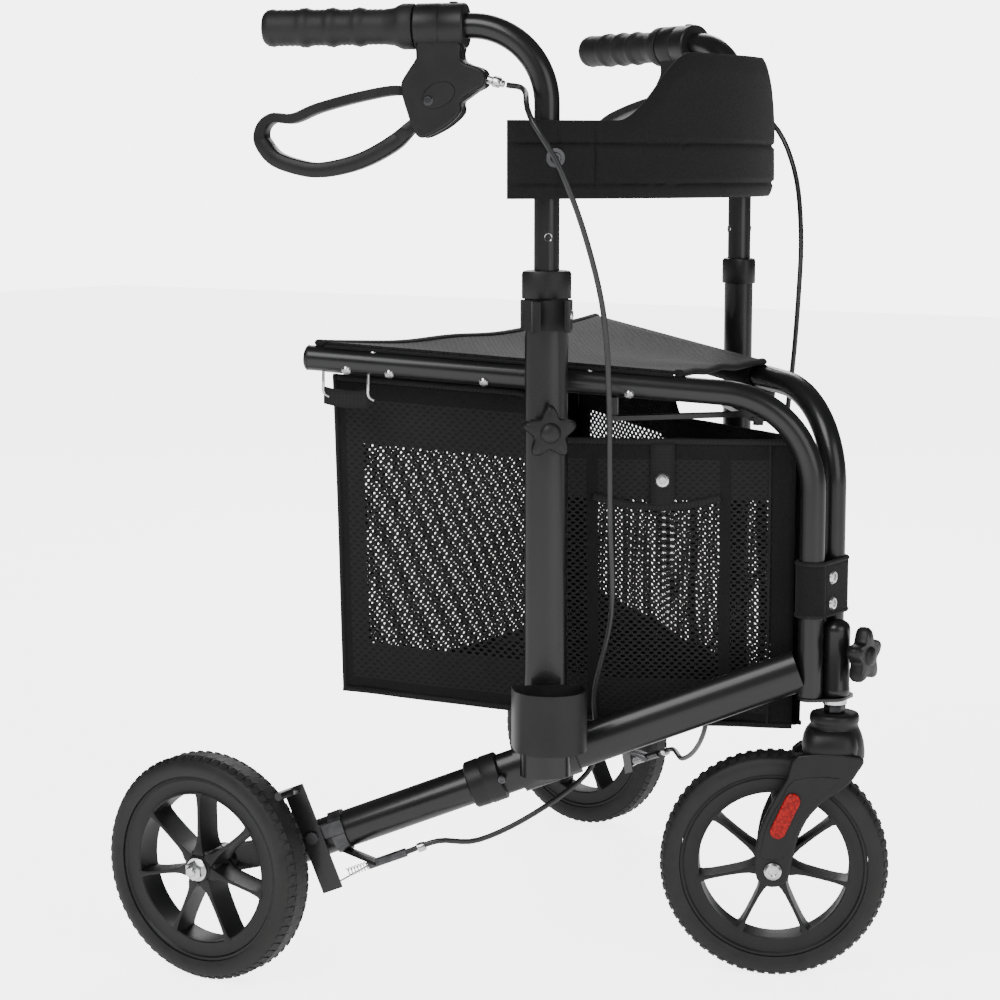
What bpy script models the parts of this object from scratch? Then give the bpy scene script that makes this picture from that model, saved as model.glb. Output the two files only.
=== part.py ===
"""Three-wheel folding rollator with a seat, a bag, a backrest band and loop brakes.

World frame: +Z up, the walker rolls towards -Y, the user's right is -X. The origin is the
bottom centre of the bounding box, on the floor. Lengths are metres, angles are degrees.
Plan positions are given as a distance out from the centre plane and a distance ahead of
the rear axle. The two side frames swing inwards about their own front tubes.
"""

import math

import bmesh
import bpy
from mathutils import Matrix, Vector

# ------------------------------------------------------------------ clearances
GAP = 0.0003  # between two pieces that touch
SLIDE_GAP = 0.0004  # between a tube and the tube it slides in
RUN_GAP = 0.0005  # around a turning shaft
SIDE_GAP = 0.0010  # between a turning wheel and what stands beside it

# ------------------------------------------------------------------ wheels
WHEEL_RADIUS = 0.100
TYRE_HALF_WIDTH = 0.0170
TREAD_HALF_WIDTH = 0.0100
RIM_RADIUS = 0.0825
RIM_OPENING_RADIUS = 0.0680
RIM_HALF_WIDTH = 0.0145
HUB_RADIUS = 0.0165
HUB_HALF_LENGTH = 0.0150
SPOKE_COUNT = 7
SPOKE_THICKNESS = 0.0034
AXLE_RADIUS = 0.0055
HALF_TRACK = 0.3125
TOE_IN = 4.0

# ------------------------------------------------------------------ side frames
HINGE_OUT = 0.0197
HINGE_AHEAD = 0.4392
RAIL_RADIUS = 0.0110
RAIL_WALL = 0.0018
STAY_END_DISTANCE = 0.4640
WHEEL_STANDOFF = 0.05313
LOWER_SPLAY = math.degrees(math.asin((HALF_TRACK - WHEEL_STANDOFF - HINGE_OUT) / STAY_END_DISTANCE))
RAIL_SPLAY = LOWER_SPLAY - 2.2
RAIL_SLOPE = 4.4
RAIL_CORNER_HEIGHT = 0.512
RAIL_BEND_RADIUS = 0.085
RAIL_REAR_AHEAD = 0.0547
FRONT_TUBE_FOOT = 0.2532

OVAL_LONG = 0.0370
OVAL_SHORT = 0.0250
OVAL_WALL = 0.0018
LOWER_SLOPE = 20.4
LOWER_HEAD_HEIGHT = 0.2795
COLLAR_DISTANCE = 0.2827
COLLAR_LENGTH = 0.030
COLLAR_WALL = 0.0030
STAY_RADIUS = 0.0165
STAY_WALL = 0.0020
LUG_RADIUS = 0.0140
LUG_THICKNESS = 0.0120

UPRIGHT_AHEAD = 0.2610
UPRIGHT_STANDOFF = 0.0411
UPRIGHT_OUT = (
    HINGE_OUT + (HINGE_AHEAD - UPRIGHT_AHEAD) * math.tan(math.radians(LOWER_SPLAY)) + UPRIGHT_STANDOFF
)
UPRIGHT_SPLAY = 40.0
UPRIGHT_FOOT = 0.2290
UPRIGHT_TOP = 0.6120
UPRIGHT_WALL = 0.0013
CAP_FOOT = 0.6005
CAP_TOP = 0.6244
CAP_WALL = 0.0026
FOOT_SOCKET_TOP = 0.2460
FOOT_SOCKET_WALL = 0.0035
FOOT_SLEEVE_LENGTH = 0.052

# ------------------------------------------------------------------ handles and brakes
HANDLE_RADIUS = 0.01075
HANDLE_WALL = 0.0015
HANDLE_FOOT = 0.400
HANDLE_BEND_RADIUS = 0.065
HANDLE_SPLAY = 21.7
GRIP_HEIGHT = 0.8275
GRIP_START = 0.113
GRIP_END = 0.2465
GRIP_RADIUS = 0.0160
GRIP_FLANGE_RADIUS = 0.0192
PIN_HOLE_RADIUS = 0.0034
PIN_HOLE_PITCH = 0.0490
PIN_HOLE_FIRST = 0.6520
PIN_HOLE_COUNT = 1
KNOB_HEIGHT = 0.4896
KNOB_RADIUS = 0.0235
KNOB_THICKNESS = 0.0130
KNOB_STAND = 0.0060
CLAMP_START = 0.0687
CLAMP_END = 0.1120
CLAMP_RADIUS = 0.0192
HOUSING_THICKNESS = 0.0250
HOUSING_OUTLINE = [
    (0.0735, 0.0075), (0.0690, 0.0290), (0.0510, 0.0355), (0.0510, 0.0530), (0.0715, 0.0620),
    (0.0715, 0.0735), (0.0900, 0.0875), (0.1090, 0.0930), (0.1150, 0.0835), (0.1240, 0.0495),
    (0.1120, 0.0290), (0.1080, 0.0075),
]
LEVER_PIVOT_ALONG = 0.0990
LEVER_PIVOT_HEIGHT = GRIP_HEIGHT - 0.0619
ADJUSTER_DROP = 0.0443
LEVER_WIDTH = 0.0190
LEVER_BAND = 0.0052
LEVER_OUTER = [
    (0.0920, 0.0715), (0.1060, 0.0555), (0.1270, 0.0485), (0.1600, 0.0535), (0.1990, 0.0635),
    (0.2210, 0.0730), (0.2390, 0.0715), (0.2520, 0.0805), (0.2550, 0.0965), (0.2420, 0.1145),
    (0.2200, 0.1235), (0.1950, 0.1265), (0.1600, 0.1185), (0.1290, 0.1025), (0.1130, 0.0875),
]
CABLE_RADIUS = 0.0024
CABLE_STOP_DISTANCE = 0.3800
CABLE_STOP_RISE = -0.0330
CABLE_STOP_OFF = 0.0205

# ------------------------------------------------------------------ head, caster and front wheel
SOCKET_AHEAD = 0.4537
SOCKET_RADIUS = 0.0125
SOCKET_TOP = 0.3157
PLATE_FOOT = 0.2500
PLATE_THICKNESS = 0.0025
STEM_RADIUS = 0.0060
CROWN_TOP = 0.2375
FORK_TRAIL = 0.0510
FORK_SWIVEL = 26.4
FORK_LEG_INSIDE = 0.0215
FORK_LEG_THICKNESS = 0.0085
FRONT_KNOB_HEIGHT = 0.2905
FRONT_KNOB_STAND = 0.0080

# ------------------------------------------------------------------ brake at the rear wheel
BRAKE_PIVOT_DISTANCE = 0.4322
BRAKE_PIVOT_RISE = 0.0075
BRAKE_ARM_ABOVE = 0.0480
BRAKE_ARM_BELOW = 0.0510
BRAKE_ARM_WIDTH = 0.0180
BRAKE_ARM_THICKNESS = 0.0028
SHOE_ANGLE = 42.0
SHOE_RADIUS = 0.0038
SHOE_GAP = 0.0078

# ------------------------------------------------------------------ folding brace
BRACE_AHEAD = 0.2881
BRACE_REACH = 0.0860
BRACE_HEIGHT = 0.4930
BRACE_THICKNESS = 0.0040
BRACE_HALF_WIDTH = 0.0070
BRACE_PIN_RADIUS = 0.0030

# ------------------------------------------------------------------ soft parts
SEAT_REAR_AHEAD = 0.0630
SEAT_FRONT_AHEAD = 0.3370
SEAT_THICKNESS = 0.0040
SEAT_SAG = 0.0220
BAG_INSET = 0.0215
BAG_REAR_AHEAD = 0.0720
BAG_FRONT_AHEAD = 0.4180
BAG_RIM_BELOW_RAIL = 0.0165
BAG_FRONT_RIM = 0.4740
BAG_FLOOR_REAR = 0.2440
BAG_FLOOR_FRONT = 0.2200
BAG_WALL = 0.0024
STRAP_FOOT = 0.3230
STRAP_HEIGHT = 0.0500
STRAP_THICKNESS = 0.0022
BAND_THICKNESS = 0.0110
BAND_RADIUS = 0.2610
BAND_TAIL = 0.0380
BAND_FOOT = 0.6840
BAND_END_TOP = 0.7490
BAND_HUMP_TOP = 0.8070

# ------------------------------------------------------------------ cane holder
CANE_RADIUS = 0.0125
CLIP_FOOT = 0.5740
CLIP_HEIGHT = 0.0255
CLIP_WALL = 0.0040
CUP_FOOT = 0.2195
CUP_HEIGHT = 0.0520
CUP_RADIUS = 0.0315
CUP_WALL = 0.0025

# ------------------------------------------------------------------ derived places
SWIVEL = math.radians(FORK_SWIVEL)
FRONT_AXLE_AHEAD = SOCKET_AHEAD - FORK_TRAIL * math.cos(SWIVEL)
FRONT_REACH = FRONT_AXLE_AHEAD + WHEEL_RADIUS * math.cos(SWIVEL) + TREAD_HALF_WIDTH * math.sin(SWIVEL)
REAR_REACH = WHEEL_RADIUS * math.cos(math.radians(TOE_IN)) + TREAD_HALF_WIDTH * math.sin(math.radians(TOE_IN))
REAR_AXLE_Y = (FRONT_REACH - REAR_REACH) / 2
UP = Vector((0, 0, 1))

SIDES = (("right", -1.0), ("left", 1.0))
ROUND = 12  # sides of a tube or a small turned piece
OVAL_SIDES = 16
WHEEL_STEPS = 28


def around(radius, sides=ROUND):
    """Corner radius of a many-sided hole whose flats clear a round bar of this radius."""
    return radius / math.cos(math.pi / sides)


def y_at(ahead):
    """World Y of a place that is this far ahead of the rear axle."""
    return REAR_AXLE_Y - ahead


def place_at(side, out, ahead, height):
    """World point on one side: out from the centre plane, ahead of the rear axle, above the floor."""
    return Vector((side * out, y_at(ahead), height))


def rearward(side, splay):
    """Level direction that runs back and outwards at this angle from straight back."""
    angle = math.radians(splay)
    return Vector((side * math.sin(angle), math.cos(angle), 0))


def outward(side, splay):
    """Level direction square to rearward(), pointing away from the centre plane."""
    angle = math.radians(splay)
    return Vector((side * math.cos(angle), -math.sin(angle), 0))


# ------------------------------------------------------------------ scene and materials
def clear_scene():
    for obj in list(bpy.data.objects):
        bpy.data.objects.remove(obj, do_unlink=True)


def new_collection(name):
    collection = bpy.data.collections.new(name)
    bpy.context.scene.collection.children.link(collection)
    return collection


def make_material(name, colour, roughness, metallic=0.0):
    material = bpy.data.materials.new(name)
    material.use_nodes = True
    shader = material.node_tree.nodes["Principled BSDF"]
    shader.inputs["Base Color"].default_value = (*colour, 1.0)
    shader.inputs["Roughness"].default_value = roughness
    shader.inputs["Metallic"].default_value = metallic
    material.diffuse_color = (*colour, 1.0)
    return material


clear_scene()
PARTS = new_collection("rollator_walker")
CUTTERS = new_collection("cutters")

MATERIALS = {
    "frame": make_material("frame_paint", (0.022, 0.022, 0.024), 0.30, 0.35),
    "plastic": make_material("black_plastic", (0.020, 0.020, 0.021), 0.48),
    "rubber": make_material("tyre_rubber", (0.030, 0.030, 0.030), 0.70),
    "grip": make_material("grip_rubber", (0.026, 0.026, 0.027), 0.62),
    "chrome": make_material("bright_steel", (0.72, 0.72, 0.73), 0.22, 1.0),
    "cable": make_material("cable_sheath", (0.028, 0.028, 0.030), 0.40),
    "mesh": make_material("mesh_fabric", (0.024, 0.024, 0.025), 0.88),
    "webbing": make_material("nylon_webbing", (0.020, 0.020, 0.021), 0.80),
    "reflector": make_material("red_reflector", (0.70, 0.012, 0.012), 0.18),
}


def empty(name, location, parent=None):
    """Empty that stands on a joint's axis and carries the pieces of one moving body."""
    obj = bpy.data.objects.new(name, None)
    PARTS.objects.link(obj)
    obj.empty_display_size = 0.03
    obj.location = location
    bpy.context.view_layer.update()
    attach(obj, parent)
    return obj


def attach(obj, parent):
    """Parent without moving."""
    if parent is not None:
        obj.parent = parent
        obj.matrix_parent_inverse = parent.matrix_world.inverted()
    bpy.context.view_layer.update()


def finish_piece(obj, material, parent):
    obj.data.materials.clear()
    obj.data.materials.append(MATERIALS[material])
    obj.data.shade_smooth()
    obj.data.set_sharp_from_angle(angle=math.radians(35))
    attach(obj, parent)
    return obj


def as_cutter(obj):
    """Move an object to the cutters, which shape other pieces and are no part themselves."""
    for collection in list(obj.users_collection):
        collection.objects.unlink(obj)
    CUTTERS.objects.link(obj)
    obj.hide_render = True
    obj.display_type = "WIRE"
    return obj


def boolean(obj, others, operation):
    for other in others:
        modifier = obj.modifiers.new(operation.lower(), "BOOLEAN")
        modifier.operation = operation
        modifier.solver = "EXACT"
        modifier.object = as_cutter(other)
    return obj


def carve(obj, *others):
    return boolean(obj, others, "DIFFERENCE")


def fuse(obj, *others):
    return boolean(obj, others, "UNION")


# ------------------------------------------------------------------ shape makers
def axes_matrix(origin, along, across=None):
    """Placement whose local Z runs along one direction and whose local X is nearest to another."""
    z_axis = Vector(along).normalized()
    guess = Vector(across) if across is not None else UP
    if across is None and abs(z_axis.z) > 0.99:
        guess = Vector((1, 0, 0))
    y_axis = z_axis.cross(guess).normalized()
    x_axis = y_axis.cross(z_axis)
    matrix = Matrix((x_axis, y_axis, z_axis)).transposed().to_4x4()
    matrix.translation = origin
    return matrix


def mesh_object(name, bm, matrix):
    bmesh.ops.recalc_face_normals(bm, faces=bm.faces)
    mesh = bpy.data.meshes.new(name)
    bm.to_mesh(mesh)
    bm.free()
    obj = bpy.data.objects.new(name, mesh)
    PARTS.objects.link(obj)
    obj.matrix_world = matrix
    bpy.context.view_layer.update()
    return obj


def oval_rod(name, start, end, half_long, half_short, across, segments=OVAL_SIDES):
    """Straight rod of elliptical section; the long half axis lies along 'across'."""
    start, end = Vector(start), Vector(end)
    length = (end - start).length
    bm = bmesh.new()
    bmesh.ops.create_cone(
        bm, cap_ends=True, segments=segments, radius1=1, radius2=1, depth=length,
        matrix=Matrix.Translation((0, 0, length / 2)),
    )
    bmesh.ops.scale(bm, vec=(half_long, half_short, 1), verts=bm.verts)
    return mesh_object(name, bm, axes_matrix(start, end - start, across))


def rod(name, start, end, radius, segments=ROUND):
    return oval_rod(name, start, end, radius, radius, None, segments)


def block(name, size, matrix, edge=0.0):
    """Box centred on the matrix, with rounded edges where edge is above 0."""
    bm = bmesh.new()
    bmesh.ops.create_cube(bm, size=1)
    bmesh.ops.scale(bm, vec=size, verts=bm.verts)
    obj = mesh_object(name, bm, matrix)
    if edge > 0:
        bevel = obj.modifiers.new("edges", "BEVEL")
        bevel.width = edge
        bevel.segments = 2
        bevel.limit_method = "ANGLE"
    return obj


def turned(name, profile, matrix, steps=ROUND, closed=False):
    """Turned piece: (radius, height) points down the outer side, spun about local Z."""
    bm = bmesh.new()
    points = [bm.verts.new((radius, 0, height)) for radius, height in profile]
    for first, second in zip(points, points[1:]):
        bm.edges.new((first, second))
    if closed:
        bm.edges.new((points[-1], points[0]))
    mesh = bpy.data.meshes.new(name)
    bm.to_mesh(mesh)
    bm.free()
    obj = bpy.data.objects.new(name, mesh)
    PARTS.objects.link(obj)
    obj.matrix_world = matrix
    screw = obj.modifiers.new("spin", "SCREW")
    screw.steps = steps
    screw.render_steps = steps
    screw.use_merge_vertices = True
    screw.merge_threshold = 0.0001
    screw.use_smooth_shade = True
    bpy.context.view_layer.update()
    return obj


def rounded_path(corners, radius, steps=8):
    """Polyline through the corners, each inner corner replaced by an arc of this radius."""
    corners = [Vector(corner) for corner in corners]
    points = [corners[0]]
    for before, corner, after in zip(corners, corners[1:], corners[2:]):
        back = (before - corner).normalized()
        on = (after - corner).normalized()
        half = back.angle(on) / 2
        reach = radius / math.tan(half)
        centre = corner + (back + on).normalized() * (radius / math.sin(half))
        first = corner + back * reach - centre
        last = corner + on * reach - centre
        turn = first.angle(last)
        for step in range(steps + 1):
            share = step / steps
            weight_a = math.sin((1 - share) * turn) / math.sin(turn)
            weight_b = math.sin(share * turn) / math.sin(turn)
            points.append(centre + first * weight_a + last * weight_b)
    points.append(corners[-1])
    return points


def swept(name, points, radius, resolution, origin):
    """Round bar along a polyline, made as a bevelled curve and turned into a mesh."""
    curve = bpy.data.curves.new(name, "CURVE")
    curve.dimensions = "3D"
    curve.bevel_depth = radius
    curve.bevel_resolution = resolution
    curve.use_fill_caps = True
    spline = curve.splines.new("POLY")
    spline.points.add(len(points) - 1)
    for slot, point in zip(spline.points, points):
        slot.co = (*(Vector(point) - origin), 1)
    guide = bpy.data.objects.new(name + "_curve", curve)
    CUTTERS.objects.link(guide)
    guide.location = origin
    bpy.context.view_layer.update()
    graph = bpy.context.evaluated_depsgraph_get()
    mesh = bpy.data.meshes.new_from_object(guide.evaluated_get(graph))
    bm = bmesh.new()
    bm.from_mesh(mesh)
    bmesh.ops.remove_doubles(bm, verts=bm.verts, dist=0.00001)
    bmesh.ops.recalc_face_normals(bm, faces=bm.faces)
    bm.to_mesh(mesh)
    bm.free()
    obj = bpy.data.objects.new(name, mesh)
    PARTS.objects.link(obj)
    obj.matrix_world = guide.matrix_world.copy()
    bpy.data.objects.remove(guide, do_unlink=True)
    bpy.context.view_layer.update()
    return obj


def bent_pipe(name, points, radius, wall, resolution, origin, blind_end=0.0):
    """Bent tube with its bore open at both ends, or stopping short of the last point."""
    outer = swept(name, points, radius, resolution, origin)
    first = Vector(points[0]) + (Vector(points[0]) - Vector(points[1])).normalized() * 0.002
    tail = (Vector(points[-1]) - Vector(points[-2])).normalized()
    last = Vector(points[-1]) + tail * (0.002 - blind_end)
    inside = [first, *[Vector(point) for point in points[1:-1]], last]
    return carve(outer, swept(name + "_bore", inside, radius - wall, resolution, origin))


def plate(name, outlines, thickness, matrix):
    """Flat piece: closed outlines in local XY, any inner one a hole, thickness centred on local Z."""
    curve = bpy.data.curves.new(name, "CURVE")
    curve.dimensions = "2D"
    curve.fill_mode = "BOTH"
    curve.extrude = thickness / 2
    for outline in outlines:
        spline = curve.splines.new("POLY")
        spline.points.add(len(outline) - 1)
        for slot, point in zip(spline.points, outline):
            slot.co = (point[0], point[1], 0, 1)
        spline.use_cyclic_u = True
    guide = bpy.data.objects.new(name + "_curve", curve)
    CUTTERS.objects.link(guide)
    bpy.context.view_layer.update()
    graph = bpy.context.evaluated_depsgraph_get()
    mesh = bpy.data.meshes.new_from_object(guide.evaluated_get(graph))
    bm = bmesh.new()
    bm.from_mesh(mesh)
    bmesh.ops.remove_doubles(bm, verts=bm.verts, dist=0.00001)
    bmesh.ops.recalc_face_normals(bm, faces=bm.faces)
    bm.to_mesh(mesh)
    bm.free()
    obj = bpy.data.objects.new(name, mesh)
    PARTS.objects.link(obj)
    obj.matrix_world = matrix
    bpy.data.objects.remove(guide, do_unlink=True)
    bpy.context.view_layer.update()
    return obj


def smooth_outline(corners, radius, steps=4):
    """Closed 2D outline with every corner rounded as far as its neighbours allow."""
    count = len(corners)
    points = []
    for index in range(count):
        corner = Vector(corners[index])
        before = Vector(corners[index - 1]) - corner
        after = Vector(corners[(index + 1) % count]) - corner
        half = before.angle(after) / 2
        reach = min(radius / math.tan(half), 0.45 * before.length, 0.45 * after.length)
        start = corner + before.normalized() * reach
        end = corner + after.normalized() * reach
        for step in range(steps + 1):
            share = step / steps
            bend = start * (1 - share) ** 2 + corner * 2 * share * (1 - share) + end * share ** 2
            points.append(bend)
    return points


def sheet(name, columns, rows, surface, thickness):
    """Sheet bent by surface(u, v), u and v from 0 to 1, thickened evenly about that surface."""
    bm = bmesh.new()
    bmesh.ops.create_grid(bm, x_segments=columns, y_segments=rows, size=0.5)
    for vertex in bm.verts:
        vertex.co = surface(vertex.co.x + 0.5, vertex.co.y + 0.5)
    obj = mesh_object(name, bm, Matrix.Identity(4))
    solidify = obj.modifiers.new("thickness", "SOLIDIFY")
    solidify.thickness = thickness
    solidify.offset = 0
    return obj


def star_knob(name, centre, axis, radius, thickness, stud, parent):
    """Five-lobed hand knob with a domed hub; its stud runs back along the axis."""
    bm = bmesh.new()
    bmesh.ops.create_cone(bm, cap_ends=True, segments=20, radius1=1, radius2=1, depth=thickness)
    for vertex in bm.verts:
        lobe = math.cos(5 * math.atan2(vertex.co.y, vertex.co.x))
        reach = radius * (0.73 + 0.27 * lobe)
        vertex.co.x *= reach
        vertex.co.y *= reach
    knob = mesh_object(name, bm, axes_matrix(centre, axis, UP))
    dome = turned(
        name + "_dome",
        [(0, 0.0105), (0.0080, 0.0080), (0.0100, 0.0), (0.0095, -0.0100), (0, -0.0100)],
        axes_matrix(centre, axis, UP), ROUND,
    )
    shank = rod(name + "_stud", centre - axis * stud, centre, 0.0030, 8)
    fuse(knob, dome, shank)
    return finish_piece(knob, "plastic", parent)


# ------------------------------------------------------------------ lines that several pieces share
def lower_line(side, distance, rise=0.0, off=0.0):
    """Point on the axis of the lower tube: level distance from the hinge, raised square to the tube, moved outboard."""
    slope = math.radians(LOWER_SLOPE)
    start = place_at(side, HINGE_OUT, HINGE_AHEAD, LOWER_HEAD_HEIGHT)
    back = rearward(side, LOWER_SPLAY)
    square = back * math.sin(slope) + UP * math.cos(slope)
    point = start + back * distance - UP * distance * math.tan(slope)
    return point + square * rise + outward(side, LOWER_SPLAY) * off


def lower_direction(side):
    """Unit direction of the lower tube, back and down."""
    slope = math.radians(LOWER_SLOPE)
    return rearward(side, LOWER_SPLAY) * math.cos(slope) - UP * math.sin(slope)


def lower_square(side):
    """Unit direction square to the lower tube in its own vertical plane, pointing up."""
    slope = math.radians(LOWER_SLOPE)
    return rearward(side, LOWER_SPLAY) * math.sin(slope) + UP * math.cos(slope)


def rail_distance(ahead):
    """Level distance from the hinge along the top rail to a place this far ahead of the rear axle."""
    return (HINGE_AHEAD - ahead) / math.cos(math.radians(RAIL_SPLAY))


def rail_out(ahead):
    return HINGE_OUT + (HINGE_AHEAD - ahead) * math.tan(math.radians(RAIL_SPLAY))


def rail_height(ahead):
    return RAIL_CORNER_HEIGHT + rail_distance(ahead) * math.tan(math.radians(RAIL_SLOPE))


def rail_point(side, ahead):
    return place_at(side, rail_out(ahead), ahead, rail_height(ahead))


def handle_point(side, along, height):
    """Point in the vertical plane of a handle: distance along the grip's direction from the upright's axis."""
    foot = place_at(side, UPRIGHT_OUT, UPRIGHT_AHEAD, height)
    return foot + rearward(side, HANDLE_SPLAY) * along


def wheel_centre(side):
    return place_at(side, HALF_TRACK, 0, WHEEL_RADIUS)


def axle_direction(side):
    """Unit direction of a rear axle, pointing away from the centre plane."""
    return outward(side, TOE_IN)


def fork_ahead():
    """Unit direction in which the front wheel points."""
    return Vector((math.sin(SWIVEL), -math.cos(SWIVEL), 0))


def fork_across():
    """Unit direction of the front axle, pointing to the user's right."""
    return Vector((-math.cos(SWIVEL), -math.sin(SWIVEL), 0))


# ------------------------------------------------------------------ wheels
def make_tyre(name, centre, axis, parent):
    tyre = turned(
        name,
        [
            (WHEEL_RADIUS, TREAD_HALF_WIDTH),
            (WHEEL_RADIUS, -TREAD_HALF_WIDTH),
            (WHEEL_RADIUS - 0.0080, -TYRE_HALF_WIDTH),
            (RIM_RADIUS + GAP, -TYRE_HALF_WIDTH + 0.0010),
            (RIM_RADIUS + GAP, TYRE_HALF_WIDTH - 0.0010),
            (WHEEL_RADIUS - 0.0080, TYRE_HALF_WIDTH),
        ],
        axes_matrix(centre, axis, UP), WHEEL_STEPS, closed=True,
    )
    return finish_piece(tyre, "rubber", parent)


def spoke_set(name, matrix):
    """All spokes as one cutter: thin webs, wider where they meet the hub, as deep as the rim."""
    half = SPOKE_THICKNESS / 2
    shape = [
        (HUB_RADIUS - 0.0035, -0.0044), (HUB_RADIUS + 0.0110, -half),
        (RIM_OPENING_RADIUS + 0.0040, -half), (RIM_OPENING_RADIUS + 0.0040, half),
        (HUB_RADIUS + 0.0110, half), (HUB_RADIUS - 0.0035, 0.0044),
    ]
    depth = RIM_HALF_WIDTH - 0.0012
    bm = bmesh.new()
    for index in range(SPOKE_COUNT):
        turn = Matrix.Rotation(2 * math.pi * index / SPOKE_COUNT, 4, "Z")
        verts = [bm.verts.new(turn @ Vector((x, y, -depth))) for x, y in shape]
        face = bm.faces.new(verts)
        grown = bmesh.ops.extrude_face_region(bm, geom=[face])
        top = [item for item in grown["geom"] if isinstance(item, bmesh.types.BMVert)]
        bmesh.ops.translate(bm, vec=(0, 0, 2 * depth), verts=top)
    return mesh_object(name, bm, matrix)


def make_rim(name, centre, axis, bore, parent):
    matrix = axes_matrix(centre, axis, UP)
    rim = turned(
        name,
        [
            (RIM_RADIUS, RIM_HALF_WIDTH), (RIM_RADIUS, -RIM_HALF_WIDTH),
            (RIM_OPENING_RADIUS, -RIM_HALF_WIDTH), (RIM_OPENING_RADIUS, RIM_HALF_WIDTH),
        ],
        matrix, WHEEL_STEPS, closed=True,
    )
    hub = rod(name + "_hub", centre - axis * HUB_HALF_LENGTH, centre + axis * HUB_HALF_LENGTH, HUB_RADIUS, 14)
    fuse(rim, hub, spoke_set(name + "_spokes", matrix))
    carve(rim, rod(name + "_bore", centre - axis * 0.03, centre + axis * 0.03, around(bore + RUN_GAP), ROUND))
    return finish_piece(rim, "plastic", parent)


def make_rear_axle(name, side, parent):
    """Axle bolt: head inside the lug, a washer and nut outside the hub, and a thread end."""
    lug_face = HUB_HALF_LENGTH + SIDE_GAP
    head = -lug_face - LUG_THICKNESS - GAP
    nut = HUB_HALF_LENGTH + SIDE_GAP
    axle = turned(
        name,
        [
            (0, nut + 0.0115), (0.0048, nut + 0.0115), (0.0048, nut + 0.0075),
            (0.0082, nut + 0.0075), (0.0085, nut + 0.0015), (0.0105, nut + 0.0013), (0.0105, nut),
            (AXLE_RADIUS, nut), (AXLE_RADIUS, head), (0.0090, head), (0.0090, head - 0.0055), (0, head - 0.0055),
        ],
        axes_matrix(wheel_centre(side), axle_direction(side), UP), ROUND,
    )
    return finish_piece(axle, "chrome", parent)


# ------------------------------------------------------------------ side frame pieces
def make_top_rail(suffix, side, parent):
    foot = place_at(side, HINGE_OUT, HINGE_AHEAD, FRONT_TUBE_FOOT)
    corner = place_at(side, HINGE_OUT, HINGE_AHEAD, RAIL_CORNER_HEIGHT)
    path = rounded_path([foot, corner, rail_point(side, RAIL_REAR_AHEAD)], RAIL_BEND_RADIUS, 5)
    rail = bent_pipe("top_rail_" + suffix, path, RAIL_RADIUS, RAIL_WALL, 4, foot)
    return finish_piece(rail, "frame", parent)


def make_rail_plug(suffix, side, parent):
    end = rail_point(side, RAIL_REAR_AHEAD)
    out = (end - rail_point(side, HINGE_AHEAD)).normalized()
    bore = RAIL_RADIUS - RAIL_WALL - SLIDE_GAP
    plug = turned(
        "rail_end_plug_" + suffix,
        [
            (0, 0.0042), (0.0085, 0.0034), (RAIL_RADIUS + 0.0004, 0.0008),
            (RAIL_RADIUS + 0.0004, GAP), (bore, GAP), (bore, -0.0150), (0, -0.0150),
        ],
        axes_matrix(end, out, UP), ROUND,
    )
    return finish_piece(plug, "plastic", parent)


def make_lower_tube(suffix, side, parent):
    across = lower_square(side)
    start = lower_line(side, 0.0)
    end = lower_line(side, COLLAR_DISTANCE)
    tube = oval_rod("lower_tube_" + suffix, start, end, OVAL_LONG / 2, OVAL_SHORT / 2, across)
    bore = oval_rod(
        "lower_bore_" + suffix, start, end + lower_direction(side) * 0.004,
        OVAL_LONG / 2 - OVAL_WALL, OVAL_SHORT / 2 - OVAL_WALL, across,
    )
    foot = place_at(side, HINGE_OUT, HINGE_AHEAD, LOWER_HEAD_HEIGHT - 0.06)
    mouth = rod("lower_mouth_" + suffix, foot, foot + UP * 0.12, around(RAIL_RADIUS + GAP))
    carve(tube, bore, mouth)
    return finish_piece(tube, "frame", parent)


def make_collar(suffix, side, parent):
    """Moulded collar over the joint of the lower tube and the rear stay."""
    across = lower_square(side)
    along = lower_direction(side)
    middle = lower_line(side, COLLAR_DISTANCE)
    half = along * COLLAR_LENGTH / 2
    collar = oval_rod(
        "tube_collar_" + suffix, middle - half, middle + half,
        OVAL_LONG / 2 + COLLAR_WALL, OVAL_SHORT / 2 + COLLAR_WALL + 0.0050, across,
    )
    front_bore = oval_rod(
        "collar_front_" + suffix, middle - half * 2, middle + along * 2 * GAP,
        OVAL_LONG / 2 + GAP, OVAL_SHORT / 2 + GAP, across,
    )
    rear_bore = rod("collar_rear_" + suffix, middle, middle + half * 2, around(STAY_RADIUS + GAP))
    carve(collar, front_bore, rear_bore)
    return finish_piece(collar, "plastic", parent)


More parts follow.
